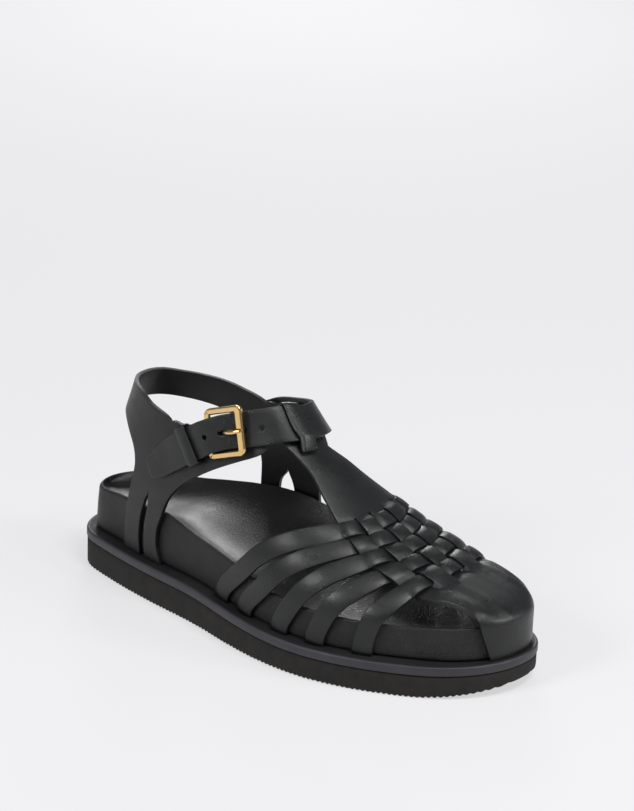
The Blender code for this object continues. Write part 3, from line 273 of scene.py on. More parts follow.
# Places and shapes of the loop, the keeper and the buckle; places count rows of STRAP_RUN
BUCKLE_PLACE = 6.1
KEEPER_PLACE = 3.55
LOOP_PLACE = 10.24
LOOP_LEAN = -0.68
LOOP_FAN = 0.32
LOOP_TAIL = 0.0014
TAIL_SHARES = (0.3, 0.45, 0.6, 0.75, 0.9, 1.0)
LOOP_BACK = 0.7
LOOP_CROWN = 0.00035
GROOVE_DEPTH = 0.00025
GROOVE_PLACE = -0.34
GROOVE_WIDTH = 0.05
STITCH_LENGTH = 0.46
STITCH_LINES = (-5, -3)
STITCH_FIRST = 3
THREAD_SIZE = 0.0012
STITCH_PROUD = 0.0004
BAR_DEPTH = 0.0033
BAR_BEVEL = 0.60
BUCKLE_LEAN = 0.10
FREE_BAR_OUT = 0.0033
PIVOT_BAR_OUT = -0.0029
BUCKLE_CORNER = 0.0019
STRAP_STEP = 1 / 3
HOLE_PLACES = (-1, 0, 1, 2)
PRONG_HOLE_BACK = 0.0012
PRONG_HOLE_STRETCH = 1.9

# Middle line of the prong: shares of the buckle's length, and of the way out over the free bar
Prong = namedtuple("Prong", "ahead out")
PRONG_ROUTE = [
    Prong(-0.29, -0.44), Prong(-0.20, -0.44), Prong(-0.10, -0.27), Prong(0.00, 0.17),
    Prong(0.10, 0.585), Prong(0.22, 0.854), Prong(0.34, 0.976), Prong(0.47, 1.0),
]

# Creases of the leather on the footbed's wall: place along, height as a share of the wall, lean,
# length and depth in metres, on the outer side
Crease = namedtuple("Crease", "along height lean length depth")
CREASES = [
    Crease(0.842, 0.45, 0.35, 0.0090, 0.00030), Crease(0.850, 0.50, 0.30, 0.0100, 0.00042),
    Crease(0.857, 0.40, 0.40, 0.0085, 0.00036), Crease(0.864, 0.55, 0.25, 0.0070, 0.00028),
    Crease(0.380, 0.35, 0.20, 0.0080, 0.00020), Crease(0.388, 0.45, 0.15, 0.0090, 0.00022),
]
CREASE_WIDTH = 0.0007

# Camera: the photograph's angle, in the frame of a 634 by 811 picture
PICTURE = (634, 811)
AZIMUTH = math.radians(36.21)
ELEVATION = math.radians(24.55)
ROLL = math.radians(1.80)
DISTANCE = 1.4805
FOCAL_PIXELS = 2963.2
SENSOR = 36.0
TARGET = Vector((-0.00055, 0.0, 0.030))
TARGET_PIXEL = (297.6, 561.98)

# Soft boxes: place and size in metres, power in watts; each one faces LIGHT_AIM
Box = namedtuple("Box", "name place size power")
LIGHT_BOXES = [
    Box("outer_box", (-0.35, -1.20, 0.90), (0.45, 0.45), 11.0),
    Box("back_box", (-0.90, 1.20, 0.66), (0.50, 0.40), 8.0),
    Box("overhead_box", (0.60, -0.12, 1.25), (0.45, 0.45), 10.0),
    Box("front_box", (1.25, 0.35, 0.65), (0.40, 0.40), 8.0),
]
LIGHT_AIM = (0.0, 0.0, 0.04)
WORLD_COLOUR = (0.96, 0.96, 1.0, 1.0)
WORLD_STRENGTH = 0.22
FLOOR_COLOUR = (0.25, 0.249, 0.253)
FLOOR_SHADE = 0.985
FLOOR_GLOW = 2.3

# Rows, columns and steps of the meshes
SPAN_STEPS = 24
SOLE_POINTS = 150
TREAD_POINTS = 470
TREAD_COLUMNS = 6
FINE_POINTS = 600
BOWL_COLUMNS = 48
CROSS_ROWS = 64
WALL_ROWS = 10
TOE_ROWS = 26
PADDLE_ROWS = 12
TBAR_ROWS = 26
WEAVE_ROWS = 96
BAND_COLUMNS = 8
BAND_STEPS = 7
STRAP_STEPS = 8
ACROSS_SAMPLES = 7
SECTION_COLUMNS = 8
CORNER_STEPS = 3
WELT_STEPS = 4
WALL_LEVELS = 16
FOOTBED_STEPS = 5
KEEPER_ROWS = 13
KEEPER_STEPS = 4
FACE_STEPS = 12
LOOP_ROWS = 15
BACK_STEPS = 13
FOLD_STEPS = 13
FRONT_STEPS = 17
BUCKLE_STEPS = 6
PRONG_POINTS = 7
TIP_STEP = 0.05
END_STEP = 0.04
BEVEL_SEGMENTS = 3

# Small steps that directions and lengths are measured over, and distances that count as none
PROBE = 0.0008
PROBE_TURN = 0.012
CREASE_PROBE = 0.001
FRAME_PROBE = 0.1
LENGTH_PROBE = 0.2
MERGE = 0.00001
SEAM_MERGE = 0.0001

PlacedBand = namedtuple("PlacedBand", "outer_turn outer_height inner_turn inner_height place")
PlacedRun = namedtuple("PlacedRun", "turn height lift width place")


def smooth(rows, name, key="along"):
    """A table's column as a function of the place: a smooth curve through its rows."""
    xs = [float(getattr(row, key)) for row in rows]
    ys = [float(getattr(row, name)) for row in rows]
    slopes = [float(slope) for slope in np.gradient(ys, xs)]

    def value(along):
        along = min(max(along, xs[0]), xs[-1])
        k = min(max(bisect_left(xs, along) - 1, 0), len(xs) - 2)
        span = xs[k + 1] - xs[k]
        t = (along - xs[k]) / span
        start = ys[k] * (1 + 2 * t) * (1 - t) ** 2 + slopes[k] * span * t * (1 - t) ** 2
        end = ys[k + 1] * t * t * (3 - 2 * t) - slopes[k + 1] * span * t * t * (1 - t)
        return start + end

    return value


def ease(value):
    """Smooth step from 0 to 1."""
    value = min(max(value, 0.0), 1.0)
    return value * value * (3 - 2 * value)


def to_x(along):
    """World x of a share of the sole's length."""
    return (along - 0.5) * LENGTH


def to_along(x):
    """Share of the sole's length of a world x."""
    return x / LENGTH + 0.5


RIM = {False: smooth(RIMS, "lateral"), True: smooth(RIMS, "medial")}
BOWL, SQUARE = smooth(RIMS, "bowl"), smooth(RIMS, "square")
RIDGE_UP, RIDGE_ACROSS = smooth(RIDGES, "height"), smooth(RIDGES, "across")
FULLNESS = {False: smooth(RIDGES, "outer"), True: smooth(RIDGES, "inner")}
MIDDLE_EDGE = {False: smooth(MIDDLES, "lateral"), True: smooth(MIDDLES, "medial")}
PLACED_RUN = [PlacedRun(*row, k) for k, row in enumerate(STRAP_RUN)]
RUN = {name: smooth(PLACED_RUN, name, "place") for name in Run._fields}


def closed_spline(points, steps):
    """Closed smooth curve through points: steps points in each span."""
    points = np.array(points, float)
    count = len(points)
    matrix = 4 * np.eye(count) + np.roll(np.eye(count), 1, 0) + np.roll(np.eye(count), -1, 0)
    slopes = np.linalg.solve(matrix, 3 * (np.roll(points, -1, 0) - np.roll(points, 1, 0)))
    result = []
    for k in range(count):
        p, q = points[k], points[(k + 1) % count]
        m, n = slopes[k], slopes[(k + 1) % count]
        for t in np.linspace(0, 1, steps, endpoint=False):
            first = p * (1 + 2 * t) * (1 - t) ** 2 + m * t * (1 - t) ** 2
            result.append(first + q * t * t * (3 - 2 * t) - n * t * t * (1 - t))
    return np.array(result)


def resample(line, shares):
    """Points of a polyline at shares of its length."""
    steps = np.linalg.norm(np.diff(line, axis=0), axis=1)
    run = np.concatenate([[0.0], np.cumsum(steps)]) / steps.sum()
    return np.stack([np.interp(shares, run, line[:, k]) for k in range(line.shape[1])], axis=1)


def footbed_inset(along):
    """Distance of the footbed's wall from the sole's edge, less at the heel and the toe."""
    at_heel = 1 - ease(along / HEEL_REACH)
    at_toe = 1 - ease((1 - along) / TOE_REACH)
    return FOOTBED_INSET + (HEEL_INSET - FOOTBED_INSET) * at_heel + (TOE_INSET - FOOTBED_INSET) * at_toe


def outline_sides(inset, count, wall=False):
    """Outer and inner halves of the sole's outline, heel to toe, moved inward by inset.

    With wall, inset is measured from the footbed's wall instead.
    """
    loop = closed_spline([(to_x(row.along), row.across * BALL_WIDTH) for row in OUTLINE], SPAN_STEPS)
    tangent = np.roll(loop, -1, 0) - np.roll(loop, 1, 0)
    tangent /= np.linalg.norm(tangent, axis=1)[:, None]
    inward = np.array([inset + (footbed_inset(to_along(x)) if wall else 0.0) for x in loop[:, 0]])[:, None]
    loop = loop + inward * np.stack([-tangent[:, 1], tangent[:, 0]], axis=1)
    toe = TOE_ROW * SPAN_STEPS
    lateral = loop[:toe + 1]
    medial = np.vstack([loop[toe:], loop[:1]])[::-1]
    even = np.linspace(0, 1, count)
    shares = 0.5 * even + 0.25 * (1 - np.cos(np.pi * even))
    return resample(lateral, shares), resample(medial, shares)


WALL_LEATHER = outline_sides(-GAP - LEATHER / 2, FINE_POINTS, wall=True)


def rising_part(line):
    """The stretch of a side's line where x only grows, as two lists."""
    first, last = int(np.argmin(line[:, 0])), int(np.argmax(line[:, 0])) + 1
    return line[first:last, 0].tolist(), line[first:last, 1].tolist()


WALL_SIDE = {False: rising_part(WALL_LEATHER[0]), True: rising_part(WALL_LEATHER[1])}


def side_y(x, medial):
    """Across place, at x, of the middle of the leather that lies on the footbed's wall."""
    xs, ys = WALL_SIDE[medial]
    k = min(max(bisect_left(xs, x) - 1, 0), len(xs) - 2)
    t = min(max((x - xs[k]) / (xs[k + 1] - xs[k]), 0.0), 1.0)
    return ys[k] + (ys[k + 1] - ys[k]) * t


def toe_rise(x):
    """Rise of the toe, from 0 at TOE_BREAK to 1 at the sole's end."""
    return (max(to_along(x) - TOE_BREAK, 0.0) / (1 - TOE_BREAK)) ** TOE_CURVE


def outsole_bottom(x):
    """Flat under the foot, with a bevel that rises to the toe."""
    return TOE_BEVEL * toe_rise(x)


def outsole_top(x):
    """The sole is thicker under the heel, and its top rises slightly at the toe."""
    drop = ease((to_along(x) - HEEL_DROP[0]) / (HEEL_DROP[1] - HEEL_DROP[0]))
    return OUTSOLE_HEEL + (OUTSOLE_FORE - OUTSOLE_HEEL) * drop + TOE_SPRING * toe_rise(x)


def welt_bottom(x):
    return outsole_top(x) + GAP


def welt_top(x):
    return welt_bottom(x) + WELT_THICKNESS


def rim_height(x, medial):
    """Height of the footbed's rim above the ground."""
    return ARCH_HEIGHT * RIM[medial](to_along(x))


def rounded(angle, fullness):
    """Cosine and sine of an angle, moved out on to a fuller curve than the circle."""
    cosine, sine = math.cos(angle), math.sin(angle)
    size = (abs(cosine) ** fullness + abs(sine) ** fullness) ** (1 / fullness)
    return cosine / size, sine / size


def vamp_point(x, turn):
    """Point on the last over the forefoot and instep.

    turn runs from -1 at the outer rim over 0 at the ridge to 1 at the inner rim. Past the rim it
    goes straight down the footbed's wall, one unit for each ARCH_HEIGHT.
    """
    along = to_along(x)
    medial = turn > 0
    side = side_y(x, medial)
    rim = rim_height(x, medial) + GAP
    if abs(turn) > 1:
        return Vector((x, side, rim - (abs(turn) - 1) * ARCH_HEIGHT))
    ridge_y = BALL_WIDTH * RIDGE_ACROSS(along)
    ridge_z = RIDGE_HEIGHT * RIDGE_UP(along)
    rise, reach = rounded(abs(turn) * math.pi / 2, FULLNESS[medial](along))
    return Vector((x, ridge_y + (side - ridge_y) * reach, rim + (ridge_z - rim) * rise))


def ridge_distance(point):
    """How far across from the ridge a point lies."""
    return point[1] - BALL_WIDTH * RIDGE_ACROSS(to_along(point[0]))


def vamp_turn(x, distance):
    """Turn of the last's point that lies this far across from the ridge."""
    side = side_y(x, distance > 0)
    fullness = FULLNESS[distance > 0](to_along(x))
    share = min(abs(distance / ridge_distance((x, side))), 1.0)
    angle = math.atan2(share, (1 - share ** fullness) ** (1 / fullness))
    return math.copysign(angle * 2 / math.pi, distance)


def vamp_normal(x, turn):
    """Outward normal of the last at a point."""
    ahead = vamp_point(x + PROBE, turn) - vamp_point(x - PROBE, turn)
    across = vamp_point(x, turn + PROBE_TURN) - vamp_point(x, turn - PROBE_TURN)
    return ahead.cross(across).normalized()


def ankle_point(turn, z):
    """Point on the last round the ankle: turn is a share of a full turn from the heel's back,
    negative on the outer side. Low down, it follows the footbed's wall."""
    back = to_x(HEEL_BACK) + (z - ANKLE_HEIGHT) * HEEL_LEAN
    front = to_x(FRONT_PLACE) - (z - ANKLE_HEIGHT) * FRONT_LEAN
    cosine, sine = rounded(turn * 2 * math.pi, ANKLE_SQUARE)
    x = (back + front) / 2 - (front - back) / 2 * cosine
    y = BALL_WIDTH * ANKLE_ACROSS + ANKLE_WIDTH / 2 * sine
    medial = sine > 0
    rim = rim_height(x, medial)
    low = 1 - ease((z - rim) / (ANKLE_HEIGHT - rim))
    wall = low * ease((abs(sine) - SIDE_START) / (1 - SIDE_START) * 1.5)
    if wall > 0:
        y += (side_y(x, medial) - y) * wall
    return Vector((x, y, z))


def ankle_normal(turn, z):
    """Outward normal of the last round the ankle."""
    up = ankle_point(turn, z + PROBE) - ankle_point(turn, z - PROBE)
    across = ankle_point(turn + PROBE_TURN / 4, z) - ankle_point(turn - PROBE_TURN / 4, z)
    return up.cross(across).normalized()


def sideways(point, normal, place, along):
    """Change of a surface's two coordinates for one metre to the side of a direction on it."""
    u, v = place
    side = normal(u, v).cross(along).normalized()
    step_u = (point(u + PROBE, v) - point(u - PROBE, v)) / (2 * PROBE)
    step_v = (point(u, v + PROBE) - point(u, v - PROBE)) / (2 * PROBE)
    uu, uv, vv = step_u.dot(step_u), step_u.dot(step_v), step_v.dot(step_v)
    us, vs = step_u.dot(side), step_v.dot(side)
    size = uu * vv - uv * uv
    return (us * vv - vs * uv) / size, (vs * uu - us * uv) / size


def section_points(half_width, half_up, corner, crown=0.0, crease=None):
    """Closed section of a strap with rounded edges: (across, up, is an edge) for each point."""
    flat = half_width - corner
    points = []
    for share in np.linspace(-1, 1, SECTION_COLUMNS + 1):
        points.append((flat * share, half_up + crown * (1 - share * share), False))
    for side, signs in ((1, (1, -1)), (-1, (-1, 1))):
        for k, sign in enumerate(signs):
            for step in range(CORNER_STEPS + 1):
                angle = math.pi / 2 * (1 - step / CORNER_STEPS if k == 0 else step / CORNER_STEPS)
                across = side * (flat + corner * math.cos(angle))
                up = sign * (half_up - corner + corner * math.sin(angle))
                points.append((across, up, True))
        if side == 1:
            for share in np.linspace(1, -1, SECTION_COLUMNS + 1):
                points.append((flat * share, -half_up, False))
    clean = [points[0]]
    for spot in points[1:]:
        if math.dist(spot[:2], clean[-1][:2]) > MERGE:
            clean.append(spot)
    if math.dist(clean[0][:2], clean[-1][:2]) < MERGE:
        clean.pop()
    if crease:
        inset, width, depth = crease
        shaped = []
        for across, up, edge in clean:
            near = (half_width - abs(across) - inset) / width
            dent = depth * math.exp(-near * near) if up > 0 and not edge else 0.0
            shaped.append((across, up - dent, edge))
        clean = shaped
    return clean


def strap_rows(point, normal, path, sections, lifts):
    """Rings of points of a strap that follows a path of surface places."""
    rows = []
    for k, place in enumerate(path):
        before, after = path[max(k - 1, 0)], path[min(k + 1, len(path) - 1)]
        along = (point(*after) - point(*before)).normalized()
        du, dv = sideways(point, normal, place, along)
        half = max(abs(spot[0]) for spot in sections[k])
        places = np.linspace(-half, half, ACROSS_SAMPLES).tolist()
        spots = [(place[0] + du * at, place[1] + dv * at) for at in places]
        bases = [point(*spot) for spot in spots]
        normals = [normal(*spot) for spot in spots]
        row = []
        for across, up, edge in sections[k]:
            j = min(max(bisect_left(places, across) - 1, 0), ACROSS_SAMPLES - 2)
            t = (across - places[j]) / (places[j + 1] - places[j])
            base = bases[j].lerp(bases[j + 1], t)
            row.append(base + normals[j].lerp(normals[j + 1], t).normalized() * (lifts[k] + up))
        rows.append(row)
    return rows


def closed_strap(name, rows, edges):
    """Mesh of rings with closed ends; edges says which of a ring's points lie on a cut edge."""
    mesh = bmesh.new()
    rings = [[mesh.verts.new(point) for point in row] for row in rows]
    count = len(rings[0])
    for low, high in zip(rings, rings[1:]):
        for j in range(count):
            k = (j + 1) % count
            face = mesh.faces.new((low[j], low[k], high[k], high[j]))
            face.material_index = 1 if edges[j] and edges[k] else 0
    for ring in (rings[0], rings[-1]):
        face = mesh.faces.new(ring)
        face.material_index = 1
    bmesh.ops.recalc_face_normals(mesh, faces=mesh.faces)
    return mesh_object(name, mesh)


def mesh_object(name, mesh):
    """Object of a bmesh, shaded smooth."""
    data = bpy.data.meshes.new(name)
    mesh.to_mesh(data)
    mesh.free()
    made = bpy.data.objects.new(name, data)
    bpy.context.scene.collection.objects.link(made)
    data.shade_smooth()
    return made


def grid_object(name, rows, closed_rows=False, keep=None):
    """Open sheet through rows of points; keep says which cells of the grid are made."""
    mesh = bmesh.new()
    verts = [[mesh.verts.new(point) for point in row] for row in rows]
    wrap = 0 if closed_rows else 1
    for i in range(len(rows) - 1):
        for j in range(len(rows[0]) - wrap):
            if keep is None or keep(i, j):
                k = (j + 1) % len(rows[0])
                mesh.faces.new((verts[i][j], verts[i][k], verts[i + 1][k], verts[i + 1][j]))
    for vert in [vert for vert in mesh.verts if not vert.link_faces]:
        mesh.verts.remove(vert)
    bmesh.ops.remove_doubles(mesh, verts=mesh.verts, dist=MERGE)
    bmesh.ops.recalc_face_normals(mesh, faces=mesh.faces)
    return mesh_object(name, mesh)


def thicken(made, thickness, edge=EDGE_ROUND):
    """Give a sheet its thickness, half on each side, with round edges in the edge material."""
    shell = made.modifiers.new("thickness", "SOLIDIFY")
    shell.thickness = thickness
    shell.offset = 0.0
    shell.use_quality_normals = True
    shell.material_offset_rim = 1
    soften(made, edge)
    return made


def soften(made, width, angle=50):
    """Round a piece's edges that are sharper than an angle in degrees."""
    bevel = made.modifiers.new("edges", "BEVEL")
    bevel.width = width
    bevel.segments = BEVEL_SEGMENTS
    bevel.limit_method = "ANGLE"
    bevel.angle_limit = math.radians(angle)
    return made


def dress(made, slot, replaced, *materials):
    """Materials of a piece, and the solid that it stands for, which it hides. The slot argument is not
    used.
    """
    for material in materials:
        made.data.materials.append(material)
    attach(made, "root")
    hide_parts(replaced)
    return made


# Materials

def new_material(name, colour, roughness, metallic=0.0):
    """Principled material with its texture space in metres; returns it and its nodes."""
    material = bpy.data.materials.new(name)
    material.use_nodes = True
    tree = material.node_tree
    shader = tree.nodes["Principled BSDF"]
    shader.inputs["Base Color"].default_value = (*colour, 1.0)
    shader.inputs["Roughness"].default_value = roughness
    shader.inputs["Metallic"].default_value = metallic
    space = tree.nodes.new("ShaderNodeTexCoord")
    return material, tree, shader, space.outputs["Object"]


def noise(tree, space, scale, detail=4.0, roughness=0.55):
    """Noise texture's value; scale is in waves for each metre."""
    texture = tree.nodes.new("ShaderNodeTexNoise")
    texture.inputs["Scale"].default_value = scale
    texture.inputs["Detail"].default_value = detail
    texture.inputs["Roughness"].default_value = roughness
    tree.links.new(space, texture.inputs["Vector"])
    return texture.outputs["Fac"]


def cells(tree, space, scale, feature="DISTANCE_TO_EDGE"):
    """Voronoi texture's distance, for leather's grain and foam's pores."""
    texture = tree.nodes.new("ShaderNodeTexVoronoi")
    texture.feature = feature
    texture.inputs["Scale"].default_value = scale
    tree.links.new(space, texture.inputs["Vector"])
    return texture.outputs["Distance"]


def spread(tree, value, low, high, to_low, to_high):
    """Map a value's range on to another."""
    node = tree.nodes.new("ShaderNodeMapRange")
    node.inputs["From Min"].default_value = low
    node.inputs["From Max"].default_value = high
    node.inputs["To Min"].default_value = to_low
    node.inputs["To Max"].default_value = to_high
    tree.links.new(value, node.inputs["Value"])
    return node.outputs["Result"]


def combine(tree, operation, first, second):
    """Maths of two values; the second may be a number."""
    node = tree.nodes.new("ShaderNodeMath")
    node.operation = operation
    tree.links.new(first, node.inputs[0])
    if isinstance(second, (int, float)):
        node.inputs[1].default_value = second
    else:
        tree.links.new(second, node.inputs[1])
    return node.outputs["Value"]


def blend_colours(tree, value, dark, light):
    """Colour between two, by a value from 0 to 1."""
    node = tree.nodes.new("ShaderNodeMix")
    node.data_type = "RGBA"
    tree.links.new(value, node.inputs["Factor"])
    node.inputs["A"].default_value = (*dark, 1.0)
    node.inputs["B"].default_value = (*light, 1.0)
    return node.outputs["Result"]


def bump(tree, shader, height, distance):
    """Bump the shader's surface by a height in metres, times a distance."""
    node = tree.nodes.new("ShaderNodeBump")
    node.inputs["Distance"].default_value = distance
    node.inputs["Strength"].default_value = 1.0
    tree.links.new(height, node.inputs["Height"])
    tree.links.new(node.outputs["Normal"], shader.inputs["Normal"])


def leather(name, dark, light, gloss, grain, pebble=0.0):
    """Satin leather: fine grain and pores, slow changes of tone and gloss, and any pebbled grain
    over the forefoot. grain and pebble are heights in metres."""
    material, tree, shader, space = new_material(name, light, gloss)
    tone = noise(tree, space, 38.0, 3.0)
    tree.links.new(blend_colours(tree, spread(tree, tone, 0.35, 0.65, 0, 1), dark, light),
                   shader.inputs["Base Color"])
    shine = noise(tree, space, 120.0, 5.0, 0.6)
    tree.links.new(spread(tree, shine, 0.3, 0.7, gloss - 0.05, gloss + 0.07), shader.inputs["Roughness"])
    fine = noise(tree, space, 1500.0, 4.0, 0.65)
    pores = spread(tree, cells(tree, space, 1700.0), 0.0, 0.12, 0.0, 1.0)
    surface = combine(tree, "ADD", combine(tree, "MULTIPLY", fine, 0.6),
                      combine(tree, "MULTIPLY", pores, 0.4))
    height = combine(tree, "MULTIPLY", surface, grain)
    if pebble:
        coarse = spread(tree, cells(tree, space, 620.0), 0.0, 0.3, 0.0, 1.0)
        place = tree.nodes.new("ShaderNodeSeparateXYZ")
        tree.links.new(space, place.inputs["Vector"])
        fore = spread(tree, place.outputs["X"], -0.02, 0.035, 0.25, 1.0)
        raised = combine(tree, "MULTIPLY", combine(tree, "MULTIPLY", coarse, fore), pebble)
        height = combine(tree, "ADD", height, raised)
    bump(tree, shader, height, 1.0)
    shader.inputs["Specular IOR Level"].default_value = 0.4
    return material


def cut_edge(name):
    """Painted cut edge of the leather: darker, matte and slightly fibrous."""
    material, tree, shader, space = new_material(name, (0.008, 0.008, 0.009), 0.55)
    fibres = noise(tree, space, 900.0, 4.0, 0.6)
    tree.links.new(blend_colours(tree, fibres, (0.0025, 0.0025, 0.003), (0.008, 0.008, 0.009)),
                   shader.inputs["Base Color"])
    bump(tree, shader, combine(tree, "MULTIPLY", fibres, 0.00012), 1.0)
    return material


def foam():
    """Matte foam rubber of the outsole, with fine pores."""
    material, tree, shader, space = new_material("outsole_foam_rubber", (0.016, 0.014, 0.012), 0.82)
    shade = noise(tree, space, 160.0, 5.0, 0.6)
    tree.links.new(blend_colours(tree, spread(tree, shade, 0.3, 0.7, 0, 1), (0.0085, 0.0078, 0.0070),
                                 (0.0165, 0.0148, 0.0132)), shader.inputs["Base Color"])
    pores = spread(tree, cells(tree, space, 900.0, "F1"), 0.0, 0.35, 0.0, 1.0)
    rough = noise(tree, space, 1200.0, 3.0, 0.6)
    height = combine(tree, "ADD", combine(tree, "MULTIPLY", pores, 0.00010),
                     combine(tree, "MULTIPLY", rough, 0.00014))
    bump(tree, shader, height, 1.0)
    shader.inputs["Specular IOR Level"].default_value = 0.35
    return material


def welt_rubber():
    """Slate grey rubber of the welt's band, with a faint run along it."""
    material, tree, shader, space = new_material("welt_rubber", (0.022, 0.022, 0.028), 0.50)
    tone = noise(tree, space, 90.0, 4.0, 0.6)
    tree.links.new(blend_colours(tree, spread(tree, tone, 0.3, 0.7, 0, 1), (0.018, 0.018, 0.023),
                                 (0.028, 0.028, 0.036)), shader.inputs["Base Color"])
    fine = noise(tree, space, 1400.0, 3.0, 0.6)
    bump(tree, shader, combine(tree, "MULTIPLY", fine, 0.00008), 1.0)
    return material


def gold():
    """Polished gold metal with slight waves and fine wear."""
    material, tree, shader, space = new_material("polished_gold", (0.80, 0.56, 0.25), 0.13, 1.0)
    wear = noise(tree, space, 700.0, 5.0, 0.65)
    tree.links.new(spread(tree, wear, 0.3, 0.7, 0.09, 0.20), shader.inputs["Roughness"])
    tree.links.new(blend_colours(tree, wear, (0.74, 0.49, 0.19), (0.86, 0.63, 0.31)),
                   shader.inputs["Base Color"])
    wave = noise(tree, space, 260.0, 2.0, 0.5)
    bump(tree, shader, combine(tree, "MULTIPLY", wave, 0.00006), 1.0)
    return material


def thread():
    """Waxed black thread."""
    material, tree, shader, space = new_material("waxed_thread", (0.010, 0.010, 0.011), 0.45)
    twist = noise(tree, space, 2600.0, 2.0, 0.5)
    bump(tree, shader, combine(tree, "MULTIPLY", twist, 0.0001), 1.0)
    return material


# Dark and light tones of each leather
STRAP_TONES = ((0.0055, 0.0060, 0.0062), (0.0095, 0.0103, 0.0107))
QUARTER_TONES = ((0.0055, 0.0055, 0.0062), (0.0090, 0.0090, 0.0100))
FOOTBED_TONES = ((0.0070, 0.0070, 0.0076), (0.0110, 0.0110, 0.0120))

STRAP_LEATHER = leather("strap_leather", *STRAP_TONES, gloss=0.30, grain=0.00006)
QUARTER_LEATHER = leather("quarter_leather", *QUARTER_TONES, gloss=0.36, grain=0.00007)
INSOLE_LEATHER = leather("insole_leather", *FOOTBED_TONES, gloss=0.34, grain=0.00006, pebble=0.00020)
WALL_COVER = leather("wall_leather", *FOOTBED_TONES, gloss=0.40, grain=0.00022)
CUT_EDGE = cut_edge("cut_edge")
FOAM = foam()
WELT_BAND = welt_rubber()
# Top shelf of the welt: coloured darker than the band as painted shade, the shadow that falls on it under
# the low light and the straps.
WELT_SHELF_PAINTED_SHADE = leather("welt_shelf_painted_shade", (0.006, 0.006, 0.007), (0.010, 0.010, 0.011), 0.60, 0.00005)
GOLD = gold()
THREAD = thread()


# Sole

def skin_loops(mesh, loops):
    """Faces between stacked loops; returns the rows of faces."""
    rows = []
    count = len(loops[0])
    for low, high in zip(loops, loops[1:]):
        faces = []
        for j in range(count):
            k = (j + 1) % count
            faces.append(mesh.faces.new((low[j], low[k], high[k], high[j])))
        rows.append(faces)
    return rows


def cap_rows(mesh, loop, columns, height):
    """Close a loop whose halves have as many points, with rows of cells across it."""
    count = len(loop)
    half = count // 2
    grid = []
    for j in range(1, half):
        near, far = loop[j], loop[count - j]
        inner = []
        for share in np.linspace(0, 1, columns + 1)[1:-1]:
            spot = near.co.lerp(far.co, share)
            spot.z = height(0.5 * (near.co.x + far.co.x), spot.x)
            inner.append(mesh.verts.new(spot))
        grid.append([near] + inner + [far])
    for row, ahead in zip(grid, grid[1:]):
        for k in range(columns):
            mesh.faces.new((row[k], row[k + 1], ahead[k + 1], ahead[k]))
    for end, row in ((loop[0], grid[0]), (loop[half], grid[-1])):
        for k in range(columns):
            mesh.faces.new((end, row[k], row[k + 1]))


def ripple(middle):
    """Height of the tread's grooves at a row across the sole."""
    wave = 0.5 - 0.5 * math.cos(2 * math.pi * middle / RIPPLE_PITCH)
    swing = RIPPLE_UNEVEN * math.sin(middle * RIPPLE_WAVES[0]) * math.sin(middle * RIPPLE_WAVES[1])
    return RIPPLE_DEPTH * (1 - RIPPLE_UNEVEN + swing) * wave ** RIPPLE_SHARPNESS


def outsole():
    """Foam layer with a rippled tread that shows along its lower edge."""
    mesh = bmesh.new()
    loops = []
    for inset, side, lift in OUTSOLE_RINGS:
        lateral, medial = outline_sides(inset, TREAD_POINTS)
        middles = [0.5 * (near[0] + far[0]) for near, far in zip(lateral, medial)]
        line = np.vstack([lateral, medial[-2:0:-1]])
        middles = middles + middles[-2:0:-1]
        loop = []
        for (x, y), middle in zip(line, middles):
            z = outsole_bottom(x) + ripple(middle) + lift if side == "bottom" else outsole_top(x) + lift
            loop.append(mesh.verts.new((x, y, z)))
        loops.append(loop)
    skin_loops(mesh, loops)
    cap_rows(mesh, loops[0], TREAD_COLUMNS, lambda middle, x: outsole_bottom(x) + ripple(middle))
    cap_rows(mesh, loops[-1], TREAD_COLUMNS, lambda middle, x: outsole_top(x))
    bmesh.ops.recalc_face_normals(mesh, faces=mesh.faces)
    made = mesh_object("outsole_tread", mesh)
    return dress(made, "outsole_foam", "outsole", FOAM)


def welt():
    """Rubber band round the sole with a rounded upper edge, and the shelf inside it, whose darker colour
    is painted shade.
    """
    corner = WELT_ROUND * WELT_CHAMFER
    rings = [(WELT_ROUND, "bottom", 0.0), (corner, "bottom", corner),
             (0.0, "bottom", WELT_ROUND), (0.0, "top", -WELT_ROUND)]
    for step in range(1, WELT_STEPS + 1):
        angle = math.pi / 2 * step / WELT_STEPS
        rings.append((WELT_ROUND * (1 - math.cos(angle)), "top", -WELT_ROUND * (1 - math.sin(angle))))
    rings.append((WELT_ROUND * SHELF_START, "top", 0.0))
    mesh = bmesh.new()
    loops = []
    for inset, side, lift in rings:
        lateral, medial = outline_sides(inset - WELT_PROUD, SOLE_POINTS)
        line = np.vstack([lateral, medial[-2:0:-1]])
        height = welt_bottom if side == "bottom" else welt_top
        loops.append([mesh.verts.new((x, y, height(x) + lift)) for x, y in line])
    skin_loops(mesh, loops)
    band_faces = len(mesh.faces)
    cap_rows(mesh, loops[0], TREAD_COLUMNS, lambda middle, x: welt_bottom(x))
    cap_rows(mesh, loops[-1], TREAD_COLUMNS, lambda middle, x: welt_top(x))
    mesh.faces.ensure_lookup_table()
    # The shelf on top and the underside take the darker material of painted shade.
    for face in mesh.faces[band_faces:]:
        face.material_index = 1
    bmesh.ops.recalc_face_normals(mesh, faces=mesh.faces)
    made = mesh_object("welt_band", mesh)
    return dress(made, "welt_foam", "welt", WELT_BAND, WELT_SHELF_PAINTED_SHADE)


def footbed_surface(lateral, medial, share):
    """Point on the footbed's top, at a share of the way from the outer rim to the inner."""
    x = lateral[0] + (medial[0] - lateral[0]) * share
    y = lateral[1] + (medial[1] - lateral[1]) * share
    along = to_along(x)
    low, high = rim_height(x, False), rim_height(x, True)
    arch = share ** ARCH_CURVE if high > low else share
    centre = abs(2 * share - 1)
    dip = BOWL(along) * ARCH_HEIGHT * (1 - centre ** SQUARE(along))
    return Vector((x, y, low + (high - low) * arch - dip))


